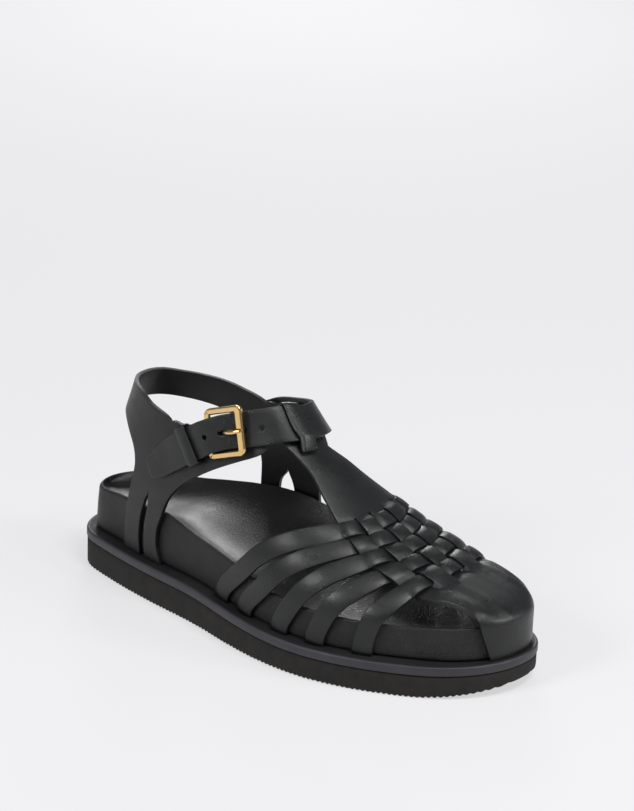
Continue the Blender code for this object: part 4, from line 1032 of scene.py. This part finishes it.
def crease_depth(x, z):
    """How far the outer wall's leather is drawn in at its creases."""
    base = welt_top(x) + GAP
    rim = rim_height(x, False)
    depth = 0.0
    for row in CREASES:
        middle = base + (rim - base) * row.height
        across = (x - to_x(row.along)) + (z - middle) * row.lean
        fade = ease(1 - abs(z - middle) / row.length)
        depth += row.depth * fade * math.exp(-(across / CREASE_WIDTH) ** 2)
    return depth


def footbed():
    """Cupped footbed: a wall with creased leather, a rounded rim and a bowl with the arch's rise."""
    levels = list(FOOTBED_BASE)
    for share in np.linspace(WALL_START, 1.0, WALL_LEVELS):
        lift = -FOOTBED_ROUND * ease((share - 0.5) * 2)
        levels.append((FOOTBED_DRAFT * share ** DRAFT_CURVE, share, lift))
    for step in range(1, FOOTBED_STEPS):
        angle = math.pi / 2 * step / FOOTBED_STEPS
        inset = FOOTBED_DRAFT + FOOTBED_ROUND * (1 - math.cos(angle))
        levels.append((inset, 1.0, -FOOTBED_ROUND * (1 - math.sin(angle))))
    mesh = bmesh.new()
    loops = []
    for offset, share, lift in levels:
        loop = []
        plain = outline_sides(offset, SOLE_POINTS, wall=True)
        deep = outline_sides(offset + CREASE_PROBE, SOLE_POINTS, wall=True)
        for inner in (False, True):
            line, inside = plain[inner], deep[inner]
            order = range(len(line) - 2, 0, -1) if inner else range(len(line))
            for k in order:
                x, y = line[k]
                base = welt_top(x) + GAP
                z = base + (rim_height(x, inner) - base) * share + lift
                drawn = 0.0 if inner else crease_depth(x, z) / CREASE_PROBE
                x, y = line[k] + (inside[k] - line[k]) * drawn
                loop.append(mesh.verts.new((x, y, z)))
        loops.append(loop)
    lateral, medial = outline_sides(FOOTBED_DRAFT + FOOTBED_ROUND, SOLE_POINTS, wall=True)
    grid = []
    shares = 0.5 - 0.5 * np.cos(np.linspace(0, np.pi, BOWL_COLUMNS + 1))
    for near, far in zip(lateral, medial):
        grid.append([mesh.verts.new(footbed_surface(near, far, float(share))) for share in shares])
    for row in (grid[0], grid[-1]):
        for vert in row[1:]:
            mesh.verts.remove(vert)
        del row[1:]
    top = [row[0] for row in grid[1:-1]]
    far = [row[-1] for row in grid[1:-1]]
    loops.append([grid[0][0]] + top + [grid[-1][0]] + far[::-1])
    skin_loops(mesh, loops)
    cap_rows(mesh, loops[0], TREAD_COLUMNS, lambda middle, x: welt_top(x) + GAP)
    for face in mesh.faces:
        face.material_index = 1
    for row, ahead in zip(grid[1:-1], grid[2:-1]):
        for j in range(BOWL_COLUMNS):
            mesh.faces.new((row[j], row[j + 1], ahead[j + 1], ahead[j]))
    for end, row in ((grid[0], grid[1]), (grid[-1], grid[-2])):
        for j in range(BOWL_COLUMNS):
            mesh.faces.new((end[0], row[j], row[j + 1]))
    bmesh.ops.recalc_face_normals(mesh, faces=mesh.faces)
    made = mesh_object("moulded_footbed", mesh)
    return dress(made, "footbed_leather", "footbed", INSOLE_LEATHER, WALL_COVER)


# Woven vamp

def foot_turn(x, medial):
    """Turn at which the last's wall meets the welt, with the clearance left."""
    depth = rim_height(x, medial) + GAP - welt_top(x) - GAP
    return (1 + depth / ARCH_HEIGHT) * (1 if medial else -1)


LOWEST = {cross: {medial: abs(foot_turn(to_x(cross.medial if medial else cross.lateral), medial))
                  for medial in (False, True)} for cross in CROSSES}


def cross_x(cross, turn):
    """x of a cross strap's centre line at a turn of the last."""
    foot = cross.medial if turn > 0 else cross.lateral
    share = ease(max(1 - abs(turn) / LOWEST[cross][turn > 0], 0.0) ** CROSS_SWEEP)
    return to_x(foot + (cross.ridge - foot) * share)


def strip_distance(x, strip):
    """Distance of a lengthwise strip's centre from the ridge; strips count 0 to STRIPS - 1."""
    lateral = -BALL_WIDTH * MIDDLE_EDGE[False](to_along(x))
    medial = BALL_WIDTH * MIDDLE_EDGE[True](to_along(x))
    return lateral + (medial - lateral) * (strip + 0.5) / STRIPS


def strip_place(x, turn):
    """Where a point of the last lies among the lengthwise strips, counted in strips."""
    distance = ridge_distance(vamp_point(x, turn))
    first, last = strip_distance(x, 0), strip_distance(x, STRIPS - 1)
    return (distance - first) / (last - first) * (STRIPS - 1)


def weave_wave(strip, cross):
    """Height of a cross strap over a strip, from -1 under to 1 over, at any place between."""
    inside = -0.5 < strip < STRIPS - 0.5 and -0.5 < cross < len(CROSSES) - 0.5
    if not inside:
        return 0.0
    value = math.cos(math.pi * strip) * math.cos(math.pi * cross)
    return math.sin(value * math.pi / 2)


def soften_bends(rows, turns):
    """Round a strap's bend where it comes over the footbed's rim."""
    for _ in range(RIM_SOFTENING):
        moved = [list(row) for row in rows]
        for k in range(1, len(rows) - 1):
            share = 0.5 * ease(1 - abs(turns[k] - 1) / RIM_REACH)
            if share > 0:
                for j, point in enumerate(rows[k]):
                    moved[k][j] = point.lerp((rows[k - 1][j] + rows[k + 1][j]) / 2, share)
        rows = moved
    return rows


def cross_strap(index):
    """One cross strap, from its outer foot over the weave to its inner foot."""
    cross = CROSSES[index]
    low = foot_turn(to_x(cross.lateral), False)
    high = foot_turn(to_x(cross.medial), True)
    turns = list(np.linspace(low, -1, WALL_ROWS)[:-1]) + list(np.linspace(-1, 1, 2 * CROSS_ROWS + 1))
    turns += list(np.linspace(1, high, WALL_ROWS)[1:])
    path, lifts, sections = [], [], []
    for turn in turns:
        turn = float(turn)
        x = cross_x(cross, turn)
        strip = strip_place(x, turn)
        beyond = abs(strip - (STRIPS - 1) / 2) - (STRIPS - 1) / 2
        inside = ease(1 - beyond / NARROW_REACH)
        path.append((x, turn))
        lifts.append(WEAVE_LIFT * weave_wave(strip, index))
        half = CROSS_STRAP / 2 * (1 - WEAVE_NARROW * inside)
        sections.append(section_points(half, CROSS_LEATHER / 2, EDGE_ROUND, STRIP_CROWN))
    rows = strap_rows(vamp_point, vamp_normal, path, sections, lifts)
    rows = soften_bends(rows, [abs(turn) for place, turn in path])
    for row in (rows[0], rows[-1]):
        for point in row:
            point.z = welt_top(point.x) + GAP
    made = closed_strap(f"cross_strap_{index + 1}", rows, [spot[2] for spot in sections[0]])
    return dress(made, "upper_leather", "woven_vamp", STRAP_LEATHER, CUT_EDGE)


def strip_columns(x):
    """Distances from the ridge of every column of the middle piece, with its share of its strip."""
    pitch = (strip_distance(x, STRIPS - 1) - strip_distance(x, 0)) / (STRIPS - 1)
    half = (pitch - STRIP_GAP) / 2
    return [(strip, share, strip_distance(x, strip) + share * half)
            for strip in range(STRIPS) for share in STRIP_SHARES]


def middle_row(x, cover=1.0, woven=True):
    """Row of the middle piece over the instep or the weave.

    cover narrows a rounded end. When woven is off, the strips go neither over nor under.
    """
    row = []
    for strip, share, distance in strip_columns(x):
        turn = vamp_turn(x, distance * cover)
        places = [cross_x(cross, turn) for cross in CROSSES]
        cross = float(np.interp(x, places, range(len(CROSSES))))
        if x < places[0]:
            cross = (x - places[0]) / (places[1] - places[0])
        if x > places[-1]:
            cross = len(CROSSES) - 1 + (x - places[-1]) / (places[-1] - places[-2])
        wave = weave_wave(strip, cross)
        press = STRAP_PRESS * (1 - ease((to_along(x) - PRESS_END) / PRESS_FADE))
        lift = -(WEAVE_LIFT * wave + STRIP_CROWN * share * share * abs(wave)) * woven - press
        row.append(vamp_point(x, turn) + vamp_normal(x, turn) * lift)
    return row


def toe_rows():
    """Rows of the toe piece, from the weave's last row over the toe down to the welt."""
    x = to_x(TOE_START)
    woven = middle_row(x)
    start = middle_row(x, woven=False)
    back = middle_row(x - 4 * PROBE, woven=False)
    feet = toe_feet([distance for strip, share, distance in strip_columns(x)])
    rows = []
    for t in np.linspace(0, 1, TOE_ROWS + 1)[1:].tolist():
        row = []
        for raised, begin, behind, (foot, rim) in zip(woven, start, back, feet):
            reach = (rim - begin).length
            lead = begin + (begin - behind).normalized() * reach * TOE_LEAD
            lead.y = begin.y + (rim.y - begin.y) * TOE_PINCH
            fall = rim + (rim - foot).normalized() * reach * TOE_FALL
            lift = TOE_EDGE_LIFT * abs(2 * len(row) / (len(start) - 1) - 1) ** 2
            lead.z += lift
            fall.z += lift
            point = begin * (1 - t) ** 3 + 3 * lead * t * (1 - t) ** 2
            point = point + 3 * fall * t * t * (1 - t) + rim * t ** 3
            row.append(point + (raised - begin) * (1 - ease(t / TOE_FADE)))
        rows.append(row)
    for share in TOE_WALL_SHARES:
        rows.append([rim.lerp(foot, share) for foot, rim in feet])
    return rows


def toe_feet(distances):
    """Places on the welt, and above them at the rim, where the toe piece comes down."""
    lateral, medial = WALL_LEATHER
    shares = [(distance - distances[0]) / (distances[-1] - distances[0]) for distance in distances]
    lines = []
    for corners in (TOE_CORNERS, TOE_RIMS):
        first = int(np.searchsorted(lateral[:, 0], to_x(corners[0])))
        last = int(np.searchsorted(medial[:, 0], to_x(corners[1])))
        lines.append(resample(np.vstack([lateral[first:], medial[last:-1][::-1]]), shares).tolist())
    feet = []
    for (foot_x, foot_y), (rim_x, rim_y) in zip(*lines):
        rim = rim_height(rim_x, rim_y > 0) + GAP
        feet.append((Vector((foot_x, foot_y, welt_top(foot_x) + GAP)), Vector((rim_x, rim_y, rim))))
    return feet


def woven_middle():
    """Middle piece with its T-bar, five strips and toe."""
    places = []
    for angle in np.linspace(0.0, math.pi / 2, PADDLE_ROWS + 1):
        x = to_x(PADDLE_START) + PADDLE_ROUND * (1 - math.cos(angle))
        places.append((x, max(math.sin(angle), PADDLE_FLAT)))
    start = to_x(PADDLE_START) + PADDLE_ROUND
    join = to_x(CROSSES[0].ridge) - 0.5 * (to_x(CROSSES[1].ridge) - to_x(CROSSES[0].ridge))
    places += [(x, 1.0) for x in np.linspace(start, join, TBAR_ROWS)[1:]]
    places += [(x, 1.0) for x in np.linspace(join, to_x(TOE_START), WEAVE_ROWS + 1)[1:]]
    rows = [middle_row(float(x), cover) for x, cover in places] + toe_rows()
    last_column = len(STRIP_SHARES) - 1

    def keep(i, j):
        if j % len(STRIP_SHARES) != last_column:
            return True
        middle = 0.5 * (rows[i][j] + rows[i + 1][j + 1])
        turn = vamp_turn(middle.x, ridge_distance(middle))
        first = cross_x(CROSSES[0], turn) - CROSS_STRAP * SLOTS_BEFORE
        last = cross_x(CROSSES[-1], turn) + CROSS_STRAP * SLOTS_AFTER
        return not first < middle.x < last

    made = grid_object("woven_middle", rows, keep=keep)
    dress(made, "upper_leather", "woven_vamp", STRAP_LEATHER, CUT_EDGE)
    return thicken(made, LEATHER)


# Quarter and ankle strap

BANDS = {}
for band_name, table in (("rear", REAR_BAND), ("outer", OUTER_TAB), ("inner", INNER_TAB)):
    placed = [PlacedBand(*row, k) for k, row in enumerate(table)]
    BANDS[band_name] = {field: smooth(placed, field, "place") for field in Band._fields}


def band_edge(band, edge, place):
    """Turn and height of a band's edge, at a place counted in rows of its table."""
    return [BANDS[band][f"{edge}_{field}"](place) for field in ("turn", "height")]


def quarter_height(turn, height):
    """Height above the ground of a share of ANKLE_HEIGHT; the lowest ones start on the welt."""
    foot = welt_top(ankle_point(turn, OUTSOLE_HEEL + WELT_THICKNESS).x) + GAP
    low = FOOT_HEIGHT * ANKLE_HEIGHT
    if height >= FOOT_HEIGHT:
        return height * ANKLE_HEIGHT
    return foot + (low - foot) * height / FOOT_HEIGHT


def band_rows(band, count):
    """Rows of points across a band of the quarter, refined between the table's rows.

    Between its slit and the top edge, a tab takes its inner edge from the rear band.
    """
    rows = []
    for place in np.linspace(0, count - 1, (count - 1) * BAND_STEPS + 1).tolist():
        outer = band_edge(band, "outer", place)
        inner = band_edge(band, "inner", place)
        if band == "outer" and OUTER_SEAM[0] <= place <= OUTER_SEAM[1]:
            inner = band_edge("rear", "inner", place)
        if band == "inner" and INNER_SEAM[0] <= place <= INNER_SEAM[1]:
            inner = band_edge("rear", "inner", INNER_SADDLE + INNER_SEAM[1] - place)
        row = []
        for share in np.linspace(0, 1, BAND_COLUMNS + 1).tolist():
            turn = outer[0] + (inner[0] - outer[0]) * share
            height = outer[1] + (inner[1] - outer[1]) * share
            row.append(ankle_point(turn, quarter_height(turn, height)))
        rows.append(row)
    return rows


def heel_quarter():
    """Both quarters with their slits, the heel strap between them and the two tabs."""
    mesh = bmesh.new()
    for band, table in (("rear", REAR_BAND), ("outer", OUTER_TAB), ("inner", INNER_TAB)):
        rows = band_rows(band, len(table))
        verts = [[mesh.verts.new(point) for point in row] for row in rows]
        for row, ahead in zip(verts, verts[1:]):
            for j in range(BAND_COLUMNS):
                mesh.faces.new((row[j], row[j + 1], ahead[j + 1], ahead[j]))
    bmesh.ops.remove_doubles(mesh, verts=mesh.verts, dist=SEAM_MERGE)
    bmesh.ops.recalc_face_normals(mesh, faces=mesh.faces)
    made = mesh_object("quarter_and_heel_strap", mesh)
    dress(made, "upper_leather", "heel_quarter", QUARTER_LEATHER, CUT_EDGE)
    return thicken(made, LEATHER)


def strap_place(place):
    """Turn, height, lift and width of the ankle strap at a place counted in rows of its table."""
    stacked = LEATHER + GAP + max(RUN["lift"](place), 0.0) * (THIN_LEATHER + GAP)
    height = RUN["height"](place) * ANKLE_HEIGHT
    return RUN["turn"](place), height, stacked, RUN["width"](place) * ANKLE_STRAP


def strap_centre(place):
    """Point on the middle line of the strap's leather."""
    turn, z, lift, width = strap_place(place)
    return ankle_point(turn, z) + ankle_normal(turn, z) * lift


def strap_frame(place):
    """Centre of the strap, its direction to the front, its upward side and its outward normal."""
    ahead = (strap_centre(place + FRAME_PROBE) - strap_centre(place - FRAME_PROBE)).normalized()
    turn, z, lift, width = strap_place(place)
    out = ankle_normal(turn, z)
    up = out.cross(ahead).normalized()
    if up.z < 0:
        up = -up
    square = ahead.cross(up).normalized()
    return strap_centre(place), ahead, up, square * math.copysign(1, square.dot(out))


def strap_length(place):
    """Length of the strap for one row of its table, near a place."""
    ahead, behind = strap_centre(place + LENGTH_PROBE), strap_centre(place - LENGTH_PROBE)
    return (ahead - behind).length / (2 * LENGTH_PROBE)


def strap_point(place, up, out):
    """Point of the bent strap: up from its centre line, and out from the middle of its leather."""
    turn, z, lift, width = strap_place(place)
    behind, ahead = strap_place(place - STRAP_STEP), strap_place(place + STRAP_STEP)
    along = (ankle_point(*ahead[:2]) - ankle_point(*behind[:2])).normalized()
    du, dv = sideways(ankle_point, ankle_normal, (turn, z), along)
    spot = (turn + du * up, z + dv * up)
    return ankle_point(*spot) + ankle_normal(*spot) * (lift + out)


def ankle_strap():
    """Long strap from its tip on the outer quarter, through the buckle and loop, to the inner quarter."""
    last = len(STRAP_RUN) - 1
    even = np.linspace(0, last, last * STRAP_STEPS + 1)[1:-1].tolist()
    places = [0.0, TIP_STEP] + even + [last - END_STEP, last]
    path, lifts, sections = [], [], []
    run = 0.0
    for k, place in enumerate(places):
        turn, z, lift, width = strap_place(place)
        run += strap_length(place) * (place - places[k - 1]) if k else 0.0
        short = max(1 - run / TIP_ROUND, 0.0)
        width *= 1 - TIP_PINCH * (1 - math.sqrt(1 - short * short))
        thin = END_THIN if k in (0, len(places) - 1) else 1.0
        path.append((turn, z))
        lifts.append(lift)
        half = width / 2 - (1 - thin) * LEATHER
        sections.append(section_points(half, LEATHER / 2 * thin, EDGE_ROUND, STRAP_CROWN, STRAP_CREASE))
    rows = strap_rows(ankle_point, ankle_normal, path, sections, lifts)
    made = closed_strap("buckled_ankle_strap", rows, [spot[2] for spot in sections[0]])
    dress(made, "upper_leather", "ankle_strap", STRAP_LEATHER, CUT_EDGE)
    punch_holes(made)
    return made


def punch_holes(strap):
    """Round holes through the strap, and a longer one that the prong comes up through."""
    cutters = bmesh.new()
    for count in HOLE_PLACES:
        place = BUCKLE_PLACE + count * HOLE_PITCH / strap_length(BUCKLE_PLACE)
        origin, ahead, up, out = strap_frame(place)
        stretch = PRONG_HOLE_STRETCH if count == 0 else 1.0
        if count == 0:
            origin = origin - ahead * PRONG_HOLE_BACK
        turned = Matrix((ahead, up, out)).transposed().to_4x4()
        shape = Matrix.Diagonal((stretch, 1.0, 1.0, 1.0))
        bmesh.ops.create_cone(
            cutters, cap_ends=True, segments=24, radius1=HOLE_DIAMETER / 2, radius2=HOLE_DIAMETER / 2,
            depth=5 * LEATHER, matrix=Matrix.Translation(origin) @ turned @ shape,
        )
    data = bpy.data.meshes.new("hole_cutters")
    cutters.to_mesh(data)
    cutters.free()
    cutter = bpy.data.objects.new("hole_cutters", data)
    bpy.context.scene.collection.objects.link(cutter)
    data.materials.append(CUT_EDGE)
    cut = strap.modifiers.new("holes", "BOOLEAN")
    cut.operation = "DIFFERENCE"
    cut.solver = "EXACT"
    cut.object = cutter
    apply_modifiers(strap)
    bpy.data.objects.remove(cutter, do_unlink=True)


def apply_modifiers(made):
    """Give a piece the mesh that its modifiers make."""
    graph = bpy.context.evaluated_depsgraph_get()
    data = bpy.data.meshes.new_from_object(made.evaluated_get(graph))
    made.modifiers.clear()
    made.data = data


def ring_path(half_up, half_out, corner, steps):
    """Closed rounded rectangle in the strap's section."""
    path = []
    for k, (sv, sn) in enumerate(((1, 1), (-1, 1), (-1, -1), (1, -1))):
        for step in range(steps + 1):
            angle = math.pi / 2 * (k + step / steps)
            v = sv * (half_up - corner) + corner * math.cos(angle)
            n = sn * (half_out - corner) + corner * math.sin(angle)
            path.append((v, n))
        if k % 2 == 0:
            reach = sv * (half_up - corner)
            for share in np.linspace(0, 1, FACE_STEPS)[1:-1]:
                path.append((reach - 2 * reach * share, sn * half_out))
    return path


def keeper():
    """Puffed leather loop round the strap, behind the buckle."""
    width = strap_place(KEEPER_PLACE)[3]
    corner = THIN_LEATHER * KEEPER_CORNER
    span = KEEPER_WIDTH / strap_length(KEEPER_PLACE)
    rows = []
    for share in np.linspace(-0.5, 0.5, KEEPER_ROWS).tolist():
        puff = KEEPER_PUFF * (1 - (2 * share) ** 2)
        half_up = width / 2 + STRAP_FIT + THIN_LEATHER / 2 + puff
        half_out = LEATHER / 2 + STRAP_FIT + THIN_LEATHER / 2
        path = ring_path(half_up, half_out, corner, KEEPER_STEPS)
        rows.append([strap_point(KEEPER_PLACE + share * span, up, out + (puff if out > 0 else 0.0))
                     for up, out in path])
    made = grid_object("leather_keeper", rows, closed_rows=True)
    dress(made, "upper_leather", "keeper", STRAP_LEATHER, CUT_EDGE)
    return thicken(made, THIN_LEATHER)


def loop_path():
    """The loop's way in the strap's section: up behind the strap, over its top edge and down its face."""
    half_up = ANKLE_STRAP / 2 + STRAP_FIT + THIN_LEATHER / 2
    half_out = LEATHER / 2 + STRAP_FIT + THIN_LEATHER / 2
    fold = [(half_up - half_out + half_out * math.sin(a), -half_out * math.cos(a))
            for a in np.linspace(0, math.pi, FOLD_STEPS)]
    back = [(v, -half_out) for v in np.linspace(-half_up * LOOP_BACK, half_up - half_out, BACK_STEPS)[:-1]]
    front = [(v, half_out) for v in np.linspace(half_up - half_out, -half_up + half_out, FRONT_STEPS)[1:]]
    return back + fold + front


def tbar_loop():
    """Loop on the T-bar: over the strap's face and top edge, and down behind it."""
    span = LOOP_WIDTH / strap_length(LOOP_PLACE)
    rows = []
    for share in np.linspace(-0.5, 0.5, LOOP_ROWS).tolist():
        groove = GROOVE_DEPTH * math.exp(-((share - GROOVE_PLACE) / GROOVE_WIDTH) ** 2)
        crown = LOOP_CROWN * (1 - (2 * share) ** 2)
        row = []
        for up, out in loop_path():
            lean = LOOP_LEAN * (up / ANKLE_STRAP)
            shift = (crown - groove) if out > 0 else 0.0
            fan = 1 + LOOP_FAN * 2 * up / ANKLE_STRAP
            row.append(strap_point(LOOP_PLACE + share * span * fan + lean, up, out + shift))
        rows.append(row + loop_tail(row[-1]))
    loop_stitches(rows)
    made = grid_object("tbar_strap_loop", rows)
    dress(made, "upper_leather", "tbar_loop", STRAP_LEATHER, CUT_EDGE)
    return thicken(made, THIN_LEATHER, LOOP_ROUND)


def loop_stitches(rows):
    """Thick stitches in rows across the loop's tail; rows are the loop's own points."""
    mesh = bmesh.new()
    for line in STITCH_LINES:
        for k in range(STITCH_FIRST, len(rows) - STITCH_FIRST, 2):
            run = rows[k + 1][line] - rows[k - 1][line]
            down = rows[k][line + 1] - rows[k][line - 1]
            out = run.cross(down).normalized()
            out *= math.copysign(THIN_LEATHER / 2 + STITCH_PROUD, out.x)
            turn = run.to_track_quat("X", "Z").to_matrix().to_4x4()
            size = Matrix.Diagonal((run.length * STITCH_LENGTH, THREAD_SIZE / 2, THREAD_SIZE / 2, 1.0))
            placed = Matrix.Translation(rows[k][line] + out) @ turn @ size
            bmesh.ops.create_uvsphere(mesh, u_segments=12, v_segments=8, radius=1.0, matrix=placed)
    made = mesh_object("loop_stitches", mesh)
    return dress(made, "upper_leather", "tbar_loop", THREAD)


def loop_tail(start):
    """Points of the loop's stitched tail, which lies on the T-bar under the strap."""
    points = []
    distance = ridge_distance(start)
    lift = LEATHER / 2 + GAP + THIN_LEATHER / 2
    for step in TAIL_SHARES:
        x = start[0] + LOOP_TAIL * step
        turn = vamp_turn(x, distance)
        points.append(vamp_point(x, turn) + vamp_normal(x, turn) * lift)
    return points


# Buckle

def bar_out(along):
    """How far a bar's middle stands out from the strap's middle, along the buckle."""
    reach = BUCKLE_LENGTH / 2 - BUCKLE_BAR / 2
    share = (along + reach) / (2 * reach)
    return PIVOT_BAR_OUT + (FREE_BAR_OUT - PIVOT_BAR_OUT) * min(max(share, 0.0), 1.0)


def buckle_frame():
    """Rectangular frame with bevelled bars: a thin pivot bar behind the strap, a free bar over it."""
    origin, ahead, up, out = strap_frame(BUCKLE_PLACE)
    half_u = BUCKLE_LENGTH / 2 - BUCKLE_BAR / 2
    half_v = ANKLE_STRAP / 2 + STRAP_FIT + BUCKLE_BAR / 2
    rows = []
    for k, (su, sv) in enumerate(((1, 1), (-1, 1), (-1, -1), (1, -1))):
        for step in range(BUCKLE_STEPS + 1):
            angle = math.pi / 2 * (k + step / BUCKLE_STEPS)
            direction = (math.cos(angle), math.sin(angle))
            u = su * (half_u - BUCKLE_CORNER) + BUCKLE_CORNER * direction[0]
            v = sv * (half_v - BUCKLE_CORNER) + BUCKLE_CORNER * direction[1]
            thin = 1.0 if u > -half_u * PIVOT_SHARE else PIVOT_DIAMETER / BAR_DEPTH
            rows.append(bar_section(u, v, direction, thin, origin, ahead, up, out))
    rows.append(rows[0])
    made = grid_object("gold_buckle_frame", rows, closed_rows=True)
    dress(made, "gold_metal", "buckle_frame", GOLD)
    soften(made, BAR_ROUND, angle=30)
    return made


def bar_section(u, v, direction, thin, origin, ahead, up, out):
    """Bevelled section of a bar, square to its run."""
    points = []
    widening = ease((u - BUCKLE_LENGTH * FREE_START) / (BUCKLE_LENGTH * FREE_REACH))
    wide = widening * max(direction[0], 0.0)
    half, depth = (BUCKLE_BAR + (FREE_BAR - BUCKLE_BAR) * wide) / 2, BAR_DEPTH / 2 * thin
    flat, rise = half * BAR_BEVEL, depth * BAR_BEVEL
    section = (
        (half, rise), (flat, depth), (-flat, depth), (-half, rise),
        (-half, -rise), (-flat, -depth), (flat, -depth), (half, -rise),
    )
    for across, lift in section:
        place_u, place_v = u + direction[0] * across, v + direction[1] * across
        leaning = ahead * (place_u + BUCKLE_LEAN * place_v)
        points.append(origin + leaning + up * place_v + out * (bar_out(place_u) + lift))
    return points


def buckle_prong():
    """Prong from the pivot bar through the strap's hole to its rest on the free bar."""
    origin, ahead, up, out = strap_frame(BUCKLE_PLACE)
    over = FREE_BAR_OUT + BAR_DEPTH / 2 + GAP + PRONG_DIAMETER / 2
    coarse = [origin + ahead * (row.ahead * BUCKLE_LENGTH) + out * (row.out * over) for row in PRONG_ROUTE]
    line = resample(np.array(coarse), np.linspace(0, 1, PRONG_POINTS))
    curve = bpy.data.curves.new("prong_line", "CURVE")
    curve.dimensions = "3D"
    curve.bevel_depth = PRONG_DIAMETER / 2
    curve.bevel_resolution = 5
    curve.resolution_u = 8
    curve.use_fill_caps = True
    spline = curve.splines.new("BEZIER")
    spline.bezier_points.add(len(line) - 1)
    for k, (spot, point) in enumerate(zip(spline.bezier_points, line.tolist())):
        spot.co = point
        spot.handle_left_type = spot.handle_right_type = "AUTO"
        spot.radius = PRONG_TIP if k == len(line) - 1 else 1.0
    holder = bpy.data.objects.new("prong_line", curve)
    bpy.context.scene.collection.objects.link(holder)
    data = bpy.data.meshes.new_from_object(holder.evaluated_get(bpy.context.evaluated_depsgraph_get()))
    bpy.data.objects.remove(holder, do_unlink=True)
    mesh = bmesh.new()
    mesh.from_mesh(data)
    bmesh.ops.remove_doubles(mesh, verts=mesh.verts, dist=MERGE)
    bmesh.ops.recalc_face_normals(mesh, faces=mesh.faces)
    bpy.data.meshes.remove(data)
    made = mesh_object("gold_buckle_prong", mesh)
    dress(made, "gold_metal", "buckle_prong", GOLD)
    soften(made, PRONG_ROUND)
    return made


# Stage, lights and camera

def plain_material(name, colour, roughness, glow=0.0):
    """Material of the floor, with a faint grain; glow lifts its shadows."""
    material, tree, shader, space = new_material(name, colour, roughness)
    tone = noise(tree, space, 3.0, 2.0)
    shade = tuple(c * FLOOR_SHADE for c in colour)
    tree.links.new(blend_colours(tree, tone, shade, colour), shader.inputs["Base Color"])
    shader.inputs["Emission Color"].default_value = (*colour, 1.0)
    shader.inputs["Emission Strength"].default_value = glow
    shader.inputs["Specular IOR Level"].default_value = 0.0
    return material


def floor():
    """Wide pale floor under the sandal."""
    mesh = bmesh.new()
    bmesh.ops.create_grid(mesh, x_segments=8, y_segments=8, size=8.0)
    made = mesh_object("floor", mesh)
    made.data.materials.append(plain_material("pale_floor", FLOOR_COLOUR, 0.85, FLOOR_GLOW))
    return made


def area_light(box):
    """Soft box at its place, turned to face the sandal."""
    data = bpy.data.lights.new(box.name, "AREA")
    data.shape = "RECTANGLE"
    data.size, data.size_y = box.size
    data.energy = box.power
    made = bpy.data.objects.new(box.name, data)
    made.location = box.place
    made.rotation_euler = (Vector(LIGHT_AIM) - Vector(box.place)).to_track_quat("-Z", "Y").to_euler()
    bpy.context.scene.collection.objects.link(made)


def lights():
    """Pale surroundings, and the soft boxes round the sandal."""
    world = bpy.data.worlds.new("pale_studio")
    world.use_nodes = True
    background = world.node_tree.nodes["Background"]
    background.inputs["Color"].default_value = WORLD_COLOUR
    background.inputs["Strength"].default_value = WORLD_STRENGTH
    bpy.context.scene.world = world
    for box in LIGHT_BOXES:
        area_light(box)


def camera():
    """Camera at the photograph's angle; it looks a little past the sandal, as the photograph does."""
    back = Vector((math.sin(AZIMUTH) * math.cos(ELEVATION), -math.cos(AZIMUTH) * math.cos(ELEVATION),
                   math.sin(ELEVATION)))
    right = Vector((math.cos(AZIMUTH), math.sin(AZIMUTH), 0.0))
    up = back.cross(right)
    rolled_right = right * math.cos(ROLL) + up * math.sin(ROLL)
    rolled_up = up * math.cos(ROLL) - right * math.sin(ROLL)
    facing = Matrix((rolled_right, rolled_up, back)).transposed()
    aside = (TARGET_PIXEL[0] - PICTURE[0] / 2) / FOCAL_PIXELS
    below = (TARGET_PIXEL[1] - PICTURE[1] / 2) / FOCAL_PIXELS
    to_target = Vector((aside, -below, -1.0)).normalized()
    swing = to_target.rotation_difference(Vector((0, 0, -1))).to_matrix()
    data = bpy.data.cameras.new("camera")
    data.sensor_width = SENSOR
    data.lens = FOCAL_PIXELS / max(PICTURE) * SENSOR
    made = bpy.data.objects.new("camera", data)
    made.matrix_world = Matrix.Translation(TARGET + back * DISTANCE) @ (facing @ swing).to_4x4()
    bpy.context.scene.collection.objects.link(made)
    bpy.context.scene.camera = made


outsole()
welt()
footbed()
for strap_index in range(len(CROSSES)):
    cross_strap(strap_index)
woven_middle()
heel_quarter()
ankle_strap()
tbar_loop()
keeper()
buckle_frame()
buckle_prong()
floor()
lights()
camera()
bpy.context.scene.view_settings.view_transform = "Standard"
